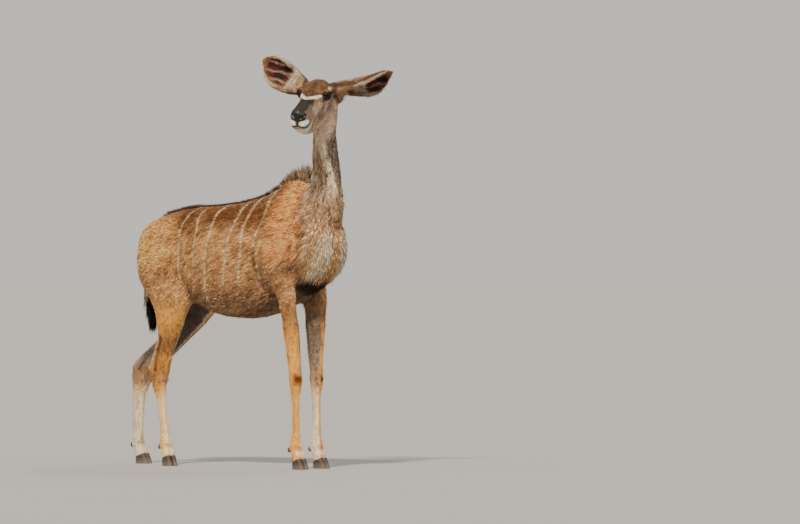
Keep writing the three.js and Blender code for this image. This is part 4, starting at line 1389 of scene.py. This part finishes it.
def shortCoat():
    faceParts = parts[skinFaces].mean(1)
    middle = skinPoints[skinFaces].mean(1)
    spacing = byPart(faceParts, coatForm["spacing"])
    spacing[bareShare[skinFaces].mean(1) > 0.4] = 0
    for centre in eyeMiddles.values():
        spacing[np.linalg.norm(middle - centre, axis=1) < eyeForm["edge"] + 0.3] = 0
    spacing[middle[:, 2] < 42] = 0
    for name in earForms:
        inside = cupShare(middle, skinNormals[skinFaces[:, 0]], name)[0] * partShare(faceParts, name)
        spacing[inside > 0.6] *= 2.2
    points, normals, weights, place = rooted(*scatter(skinPoints, skinFaces, spacing))
    headings = lieOfCoat(points, normals, weights)
    length = byPart(weights, coatForm["length"])
    width = byPart(weights, coatForm["width"])
    along, _, high = inHead(points).T
    head, torso = partShare(weights, "head"), partShare(weights, "torso")
    length *= 1 - 0.5 * head * step(along, 180, 320)
    length *= 1 + 1.1 * head * step(-along, -90, 0) * step(high, -10, 30)
    nearEye = np.min([np.linalg.norm(points - m, axis=1) for m in eyeMiddles.values()], axis=0)
    length *= 1 - 0.5 * step(nearEye, 36, 26)
    x, _, z = points.T
    lift = coatForm["lift"] * (1 + 0.35 * noise(points, 16, 32))
    breast = step(x, 470, 560) * step(z, 1180, 1060) * step(z, 830, 900) * partShare(weights, "torso", "neck")
    length *= 1 + 0.8 * breast
    lift += 6 * breast
    length *= 1 + 0.3 * step(-normals[:, 2], 0.2, 0.8) * torso
    length *= 1 + 0.18 * noise(points, 24, 30)
    width *= 1 + 0.25 * noise(points, 15, 31)
    bold = random.random(len(points)) < coatForm["bold"]
    length[bold] *= 1.35
    width[bold] *= 1.7
    lift[bold] += 2.5
    made = layTufts(points, normals, headings, length, width, lift)
    made[:, :, 2] = np.maximum(made[:, :, 2], 6)
    boldTone = np.where(bold, np.where(random.random(len(points)) < 0.5, 0.78, 1.2), 1)
    middles = coatColour(made[:, 3], normals, weights)
    tips = coatColour(made[:, 4], normals, weights)
    colours = np.stack([middles, middles, middles, middles, tips], 1)
    amount = coatForm["streak"] * (1 + 0.5 * partShare(weights, "neck") - 0.2 * head)
    colours *= (boldTone * (1 + amount * strokes(points, weights)))[:, None, None]
    coatPieces("shortCoat", made, shaded(colours, coatForm["shades"]), place, tuftFaces)


shortCoat()

# Long hair: each lock a closed, three-sided run of points to a tip
lockRings = 4


def lockFaces():
    faces = [(0, 2, 1)]
    for ring in range(lockRings - 1):
        for side in range(3):
            a, b = ring * 3 + side, ring * 3 + (side + 1) % 3
            faces += [(a, b, b + 3), (a, b + 3, a + 3)]
    last = (lockRings - 1) * 3
    return np.array(faces + [(last + side, last + (side + 1) % 3, lockRings * 3) for side in range(3)])


lockSet = lockFaces()


def layLocks(points, normals, headings, length, width, fall, spread):  # from headings towards fall
    count = len(points)
    length = (np.broadcast_to(length, count) * (1 + 0.16 * random.standard_normal(count)))[:, None]
    width = np.broadcast_to(width, count)[:, None]
    headings = unit(headings + spread * random.standard_normal((count, 3)))
    across = unit(np.cross(normals, headings))
    place = points - normals * 1.2
    rings = []
    for ring in range(lockRings):
        share = ring / lockRings
        going = unit(headings * (1 - share) + fall * share)
        above = np.cross(going, across)
        reach = width / 2 * (0.75, 1, 0.85, 0.5)[ring]
        for turn in (0, 120, 240):
            angle = math.radians(turn)
            rings.append(place + across * reach * math.cos(angle) + above * reach * 0.6 * math.sin(angle))
        place = place + going * length / lockRings
    rings.append(place)
    return np.stack(rings, 1)


def hangLocks(name, roots, headings, fall, length, width, colours, tip, spread=0.12):
    points, normals, place = roots
    made = layLocks(points, normals, headings, length, width, fall, spread)
    shades = [*np.repeat([0.7, 0.9, 1.0, 1.05], 3), tip]  # ring by ring to the tip
    coatPieces(name, made, shaded(colours, shades), place, lockSet)


def nearestRoots(targets, allowed):  # roots on the skin nearest to the wanted places
    indices = np.flatnonzero(allowed)
    tree = treeOf(skinPoints[indices], indices)
    found = np.array([tree.find(target)[1] for target in targets])
    return skinPoints[found], skinNormals[found], vertexPlace[found]


def backHeight(x):  # the height of the skin along the middle of the back
    top = skinPoints[(np.abs(skinPoints[:, 1]) < 9) & (skinPoints[:, 2] > 1000) & (skinPoints[:, 0] < 440)]
    top = top[np.argsort(top[:, 0])]
    return np.interp(x, top[:, 0], top[:, 2])


crestForm = {
    "clumps": 90,
    "hairs": 34,
    "from": 215,
    "to": 424,
    "width": 2.4,
    "paleTip": 1.35,
    # along the back: x, the hair's height and how far it leans forward in degrees
    "rows": np.array([
        (210, 16, -62), (270, 26, -54), (304, 36, -42), (328, 48, -26), (352, 58, -10), (376, 62, 3),
        (392, 82, 9), (405, 86, 14), (414, 50, 8), (424, 22, 0),
    ]),
}


def crestHair():  # a low mane on the withers, in pointed clumps
    clumps, hairs = crestForm["clumps"], crestForm["hairs"]
    x = np.linspace(crestForm["from"], crestForm["to"], clumps) + 3 * random.standard_normal(clumps)
    y = 9 * random.standard_normal(clumps)
    places, heights, leans = crestForm["rows"].T
    height = np.interp(x, places, heights) * (0.86 + 0.2 * random.random(clumps))
    height *= (0.6 + 0.4 * bump(y, 0, 13)) * np.where(random.random(clumps) < 0.3, 0.7, 1.0)
    lean = np.radians(np.interp(x, places, leans) + 5 * random.standard_normal(clumps))
    base = np.stack([x, y, backHeight(x)], 1)
    rise = unit(np.stack([np.sin(lean), 0.014 * y, np.cos(lean)], 1))
    tips = base + rise * height[:, None]
    clump = np.repeat(np.arange(clumps), hairs)
    count = len(clump)
    around = random.standard_normal((count, 3)) * np.array([6.5, 5, 0])
    roots = nearestRoots(base[clump] + around, np.abs(skinPoints[:, 1]) < 60)
    way = tips[clump] + random.standard_normal((count, 3)) * 2.2 - roots[0]
    fall = unit(way)
    headings = unit(fall + 0.35 * unit(around + 0.01) + 0.1 * roots[1])
    length = np.linalg.norm(way, axis=1) * (0.72 + 0.32 * random.random(count))
    pale = 0.3 * random.random(clumps)[clump] ** 2 + 0.6 * random.random(count) ** 4
    colours = painted("mane", count, [("neckPale", pale)])
    width, tip = crestForm["width"], crestForm["paleTip"]
    hangLocks("crestHair", roots, headings, fall, length, width, colours, tip, 0.05)


napeForm = {"hairs": 2600, "from": 1235, "reach": 400, "length": 27, "width": 2.5, "paleTip": 1.25}


def napeHair():  # dark mane from the poll down the nape
    count = napeForm["hairs"]
    z = napeForm["from"] + napeForm["reach"] * random.random(count)
    x, y, reach, turn = neckAxis(z)
    turn = np.radians(turn)
    aside = 6 * random.standard_normal(count)
    spots = np.stack([
        x - reach * np.cos(turn) - aside * np.sin(turn),
        y - reach * np.sin(turn) + aside * np.cos(turn),
        z,
    ], 1)
    roots = nearestRoots(spots, partShare(hardParts, "neck", "head", "torso") > 0)
    headings = unit(roots[1] * 0.7 + np.array([0, 0, -0.8]))
    fall = unit(roots[1] * 0.12 + np.array([0, 0, -1.0]))
    length = napeForm["length"] + 8 * noise(roots[0], 60, 41)
    colours = painted("mane", count, [("neckBrown", random.random(count) * 0.5)])
    width, tip = napeForm["width"], napeForm["paleTip"]
    hangLocks("napeHair", roots, headings, fall, length, width, colours, tip)


dorsalForm = {
    "hairs": 5200,
    "from": -490,
    "reach": 800,
    "width": 2.5,
    "paleTip": 1.5,
    # along the back: x, how steeply the hair stands and how long it is
    "rows": np.array([
        (-490, 0.2, 10), (-425, 1.1, 30), (-250, 1.1, 28), (-190, 0.75, 25), (100, 0.8, 27), (250, 0.9, 32),
    ]),
}


def dorsalHair():  # a dark line of short hair along the back
    count = dorsalForm["hairs"]
    x = dorsalForm["from"] + dorsalForm["reach"] * random.random(count)
    y = 5.5 * random.standard_normal(count)
    spots = np.stack([x, y, backHeight(x)], 1)
    points, normals, place = nearestRoots(spots, np.abs(skinPoints[:, 1]) < 60)
    points[:, 0] += 3 * random.standard_normal(count)
    places, stands, lengths = dorsalForm["rows"].T
    stand = np.interp(x, places, stands)
    headings = unit(np.stack([np.full(count, -1.0), 0.02 * y, stand], 1))
    fall = unit(np.stack([np.full(count, -1.0), 0.01 * y, 0.3 * stand], 1))
    length = np.interp(x, places, lengths)
    colours = painted("dorsal", count, [("back", random.random(count) ** 3 * 0.8)])
    roots, width, tip = (points, normals, place), dorsalForm["width"], dorsalForm["paleTip"]
    hangLocks("dorsalHair", roots, headings, fall, length, width, colours, tip)


breastForm = {"spacing": 5.6, "thinning": 8, "length": 38, "width": 2.6, "paleTip": 1.1}


def breastHair():  # longer pale hair on the breast, in uneven strokes
    chest = skinPoints[skinFaces].mean(1)
    share = partShare(parts[skinFaces].mean(1), "torso", "neck")
    gap = nearLine(onRight(chest), breastLine)
    gap = np.where(np.abs(chest[:, 1]) < 60, np.minimum(gap, 30), gap)
    wanted = (chest[:, 0] > 470) & (chest[:, 2] > 845) & (chest[:, 2] < 1250) & (share > 0.5) & (gap < 125)
    spacing = breastForm["spacing"] + breastForm["thinning"] * step(gap, 45, 125)
    points, normals, weights, place = rooted(*scatter(skinPoints, skinFaces, np.where(wanted, spacing, 0)))
    headings = lieOfCoat(points, normals, weights)
    headings = unit(headings + 0.35 * swirl(points, 34, 50) + 0.28 * normals)
    fall = unit(headings + np.array([-0.25, 0, -0.5]) - 0.12 * normals)
    length = breastForm["length"] + 10 * noise(points, 40, 53)
    rows = noise(stretched(points, (0.5, 0, 0.86), 2.5), 15, 54)
    rows += 0.4 * random.standard_normal(len(points))
    colours = coatColour(points, normals, weights)
    colours = paint(colours, "neckPale", 0.5 * step(-rows, 0.1, 0.8))
    colours = paint(colours, "brisketDark", 0.75 * step(rows, 0.1, 0.8))
    roots, width, tip = (points, normals, place), breastForm["width"], breastForm["paleTip"]
    hangLocks("breastHair", roots, headings, fall, length, width, colours, tip)


tailForm = {"hairs": 3000, "ring": 12, "fringe": 26, "tuft": 58, "width": 3.0, "paleTip": 1.1}


def tailHair():  # pale fringe along the tail and a black tuft at its end
    count = tailForm["hairs"]
    spot = random.random(count) ** 0.7 * (len(tailRun) - 1)
    low = spot.astype(int)
    high = np.minimum(low + 1, len(tailRun) - 1)
    spots = tailRun[low] + (tailRun[high] - tailRun[low]) * (spot - low)[:, None]
    turn = random.random(count) * 2 * math.pi
    ring = np.stack([np.cos(turn), np.sin(turn), np.zeros(count)], 1)
    roots = nearestRoots(spots + ring * tailForm["ring"], partShare(hardParts, "tail") > 0)
    points, normals, _ = roots
    height = points[:, 2]
    down = np.array([0.02, 0, -1.0])
    below = step(height, 960, 700)
    headings = unit(down + normals * (0.26 - 0.12 * below)[:, None])
    length = np.minimum(tailForm["fringe"] + tailForm["tuft"] * below, np.maximum(height - 600, 24))
    fall = unit(down + normals * 0.03)
    fringe = (np.abs(normals[:, 1]) > 0.75) & (height > 760)
    colours = paint(tailColour(points), "stripe", 0.45 * fringe)
    width, tip = tailForm["width"], tailForm["paleTip"]
    hangLocks("tailHair", roots, headings, fall, length, width, colours, tip)


earHair = {
    "rows": 95,
    "perRow": 7,
    "cupHairs": 620,
    "width": 1.5,
    "paleTip": 1.15,
    # along the ear: height and the hair's length
    "lengths": np.array([(0, 26), (0.15, 30), (0.45, 22), (0.8, 14), (1, 8)]),
}


def fringeRoots(name):  # points of the skin along both rims, and in the cup's base
    root, along, _, across, size = earFrame(name)
    local = inHead(skinPoints) - root
    height, side = local @ along / size, local @ across
    owned = parts[:, partNames.index(name)] > 0.45
    packs = []
    for way in (-1, 1):
        for level in np.linspace(0.04, 0.9, earHair["rows"]):
            band = np.flatnonzero(owned & (np.abs(height - level) < 0.02))
            if len(band):
                reach = side[band] * way
                packs.append((random.choice(band[reach > reach.max() - 9], earHair["perRow"]), way))
    inside = cupShare(skinPoints, skinNormals, name)[0]
    base = np.flatnonzero(owned & (inside > 0.3) & (height < earCups[name] + 0.2))
    packs.append((random.choice(base, earHair["cupHairs"]), 0))
    return packs


def earFringe():  # cream hair along the rims, and longer hair out of the cup's base
    rim, way, ear = [], [], []
    for index, name in enumerate(earForms):
        for found, side in fringeRoots(name):
            rim.append(found)
            way.append(np.full(len(found), side))
            ear.append(np.full(len(found), index))
    rim, way, ear = np.concatenate(rim), np.concatenate(way)[:, None], np.concatenate(ear)
    points = skinPoints[rim] + 1.2 * random.standard_normal((len(rim), 3))
    headings, fall = np.zeros((2, len(rim), 3))
    height = np.zeros(len(rim))
    for index, name in enumerate(earForms):
        root, along, opening, across, size = earFrame(name)
        those = ear == index
        height[those] = (inHead(points[those]) - root) @ along / size
        out = way[those]
        edge = np.abs(out)
        first = opening * (0.8 * edge + 0.35 * (1 - edge)) - across * out * 0.45 + along * (1 - 0.5 * edge)
        last = -across * out * 0.75 + along * (1 - 0.25 * edge) + opening * (0.1 - 0.2 * edge)
        headings[those], fall[those] = first @ headTurn.T, last @ headTurn.T
    length = np.interp(height, *earHair["lengths"].T)
    brown = random.random(len(rim)) ** 1.5 * 0.6
    brown[(way[:, 0] != 0) & (height < 0.42)] = 0.9
    colours = painted("earPale", len(rim), [("earBack", brown)])
    roots, width, tip = (points, skinNormals[rim], vertexPlace[rim]), earHair["width"], earHair["paleTip"]
    hangLocks("earFringe", roots, unit(headings), unit(fall), length, width, colours, tip, 0.2)


crestHair()
napeHair()
dorsalHair()
breastHair()
tailHair()
earFringe()


# Eyes, lid rims and lashes


def makeEye(name, side):
    middle, radius = eyeMiddles[name], skinForm["eyeRadius"]
    outward, slit, upward = eyeFrame(side)
    points, faces = sphere(56, 40)
    cornea = 1.1 * step(points @ outward, 0.80, 0.93)
    mesh = arrayMesh(name, middle + points * (radius + cornea)[:, None], faces)
    across, high, front = points @ slit, points @ upward, points @ outward > 0
    iris = step(np.hypot(across, high), 0.56, 0.50) * front
    pupil = step(np.maximum(np.abs(across) / 0.34, np.abs(high) / 0.13), 1.12, 0.95) * front
    setColours(mesh, painted("eye", len(points), [("iris", iris), ("pupil", pupil)]))
    asPiece(f"{name}_ball", mesh, eyeMoist, [name])


def lidEdge(side, share):  # places round the opening, by a share of the way round
    radius = skinForm["eyeRadius"]
    outward, slit, upward = eyeFrame(side)
    turn = share * 2 * math.pi
    across = np.cos(turn) * eyeForm["length"] / 2 / radius * 0.97
    high = np.sign(np.sin(turn)) * (1 - np.cos(turn) ** 2) * eyeForm["height"] / 2 / radius
    front = np.sqrt(np.maximum(1 - across**2 - high**2, 0))
    if np.isscalar(share):
        return across * slit + high * upward + front * outward
    return unit(across[:, None] * slit + high[:, None] * upward + front[:, None] * outward)


def lidRim(name, side):  # a moist black edge, closed round the opening
    form = bmesh.new()
    upright = Euler((math.pi / 2, 0, 0)).to_matrix().to_4x4()
    bmesh.ops.create_circle(form, segments=8, radius=1, matrix=upright)
    bmesh.ops.translate(form, verts=form.verts, vec=(10, 0, 0))
    bmesh.ops.spin(
        form, geom=form.edges[:], cent=(0, 0, 0), axis=(0, 0, 1), angle=2 * math.pi, steps=72,
        use_merge=True,
    )
    ring = np.array([v.co for v in form.verts])
    share = np.mod(np.arctan2(ring[:, 1], ring[:, 0]) / (2 * math.pi), 1)
    out, above = np.hypot(ring[:, 0], ring[:, 1]) - 10, ring[:, 2]
    edge = lidEdge(side, share)
    ahead = unit(lidEdge(side, share + 0.004) - lidEdge(side, share - 0.004))
    aside = unit(np.cross(ahead, edge))
    rim = eyeForm["rim"]
    places = eyeMiddles[name] + edge * (skinForm["eyeRadius"] + 0.7 + above * rim)[:, None]
    places = row(places + aside * (out * rim * 1.3)[:, None])
    for vertex, place in zip(form.verts, places):
        vertex.co = place
    bmesh.ops.recalc_face_normals(form, faces=form.faces)
    mesh = bpy.data.meshes.new(name)
    form.to_mesh(mesh)
    form.free()
    mesh.polygons.foreach_set("use_smooth", np.ones(len(mesh.polygons), bool))
    asPiece(f"{name}_rim", mesh, lidBlack)


lashForm = {"hairs": 120, "length": 11, "width": 0.7}


def lashes(name, side):
    outward, _, upward = eyeFrame(side)
    edge = lidEdge(side, 0.03 + 0.44 * random.random(lashForm["hairs"]))
    points = eyeMiddles[name] + edge * (skinForm["eyeRadius"] + 1.6)
    spread = unit(edge - outward * (edge @ outward)[:, None])
    headings = unit(outward + spread * 0.5)
    fall = unit(outward * 0.45 + spread * 0.5 + upward * 0.3)
    roots = points, edge, nearestRoots(points, onHead > 0.5)[2]
    colours = painted("tailTip", len(points), [])
    length, width = lashForm["length"], lashForm["width"]
    hangLocks(f"{name}_lashes", roots, headings, fall, length, width, colours, 1.0)


for eyeName, eyeSide in eyeSides.items():
    makeEye(eyeName, eyeSide)
    lidRim(eyeName, eyeSide)
    lashes(eyeName, eyeSide)
print("eyes made")

# Hooves: the solids' own toes and dewclaws, rounded, with level soles
hornForm = {"voxel": 0.0022, "rounds": 5, "soleHeight": 1.5, "soleWeight": 0.15}


def roundedHorn(name):
    points, faces = arraysOf(remeshed(*arraysOf(nodes[name].data), hornForm["voxel"]))
    onSole = points[:, 2] < points[:, 2].min() + hornForm["soleHeight"]
    weight = np.where(onSole, hornForm["soleWeight"], 1.0)
    points = smoothed(points, edgesOf(faces), hornForm["rounds"], weight)
    points[:, 2] = np.maximum(points[:, 2], 0.2)
    asPiece(f"{name}_horn", arrayMesh(name, points, faces), hornWorn, [name])


for hornName in [n for n in nodes if n.startswith(("hoof", "dewclaw"))]:
    roundedHorn(hornName)
print("hooves made")

# Studio: pale floor, soft lights and the photograph's camera
studio = {
    "azimuth": 43,
    "distance": 30,
    "height": 0.912,
    "along": 0.712,
    "metresPerPixel": 0.00445,
    "pictureWidth": 800,
    "sensor": 36,
    "floorReach": 170,
    "sky": ("#ece8e1", 0.85),
    "lampDistance": 8,
    # each light: degrees left of the camera, degrees up, softness in degrees, strength, colour
    "lights": {
        "key": (14, 42, 6, 4.6, "#fff3e2"),
        "fill": (-62, 24, 40, 0.3, "#f2f5ff"),
        "rim": (-150, 42, 25, 0.7, "#fffaf2"),
    },
}


def studioSet():
    floor = bmesh.new()
    bmesh.ops.create_circle(floor, cap_ends=True, radius=studio["floorReach"], segments=96)
    mesh = bpy.data.meshes.new("studioFloor")
    floor.to_mesh(mesh)
    floor.free()
    mesh.materials.append(paleFloor())
    ground = bpy.data.objects.new("studioFloor", mesh)
    collection.objects.link(ground)
    world = bpy.data.worlds.new("softSky")
    world.use_nodes = True
    glow = world.node_tree.nodes["Background"]
    glow.inputs[0].default_value = colourOf(studio["sky"][0])
    glow.inputs[1].default_value = studio["sky"][1]
    bpy.context.scene.world = world
    azimuth = math.radians(studio["azimuth"])
    right = Vector((math.cos(azimuth), math.sin(azimuth), 0))
    back = Vector((math.sin(azimuth), -math.cos(azimuth), 0))
    for name, (left, up, soft, power, tint) in studio["lights"].items():
        left, up = math.radians(left), math.radians(up)
        toLight = (back * math.cos(left) - right * math.sin(left)) * math.cos(up)
        toLight += Vector((0, 0, math.sin(up)))
        light = bpy.data.lights.new(name, "SUN")
        light.angle = math.radians(soft)
        light.energy = power
        light.color = linear(tint)
        lamp = bpy.data.objects.new(name, light)
        lamp.location = toLight * studio["lampDistance"]
        lamp.rotation_euler = toLight.to_track_quat("Z", "Y").to_euler()
        collection.objects.link(lamp)
    lens = bpy.data.cameras.new("camera")
    lens.sensor_width = studio["sensor"]
    pictureReach = studio["pictureWidth"] * studio["metresPerPixel"]
    lens.lens = studio["sensor"] * studio["distance"] / pictureReach
    lens.clip_end = 400
    camera = bpy.data.objects.new("camera", lens)
    aim = right * studio["along"] + Vector((0, 0, studio["height"])) + Vector(shift * 0.001)
    camera.location = aim + back * studio["distance"]
    camera.rotation_euler = (math.radians(90), 0, azimuth)
    collection.objects.link(camera)
    bpy.context.scene.camera = camera


studioSet()
print("scene made")
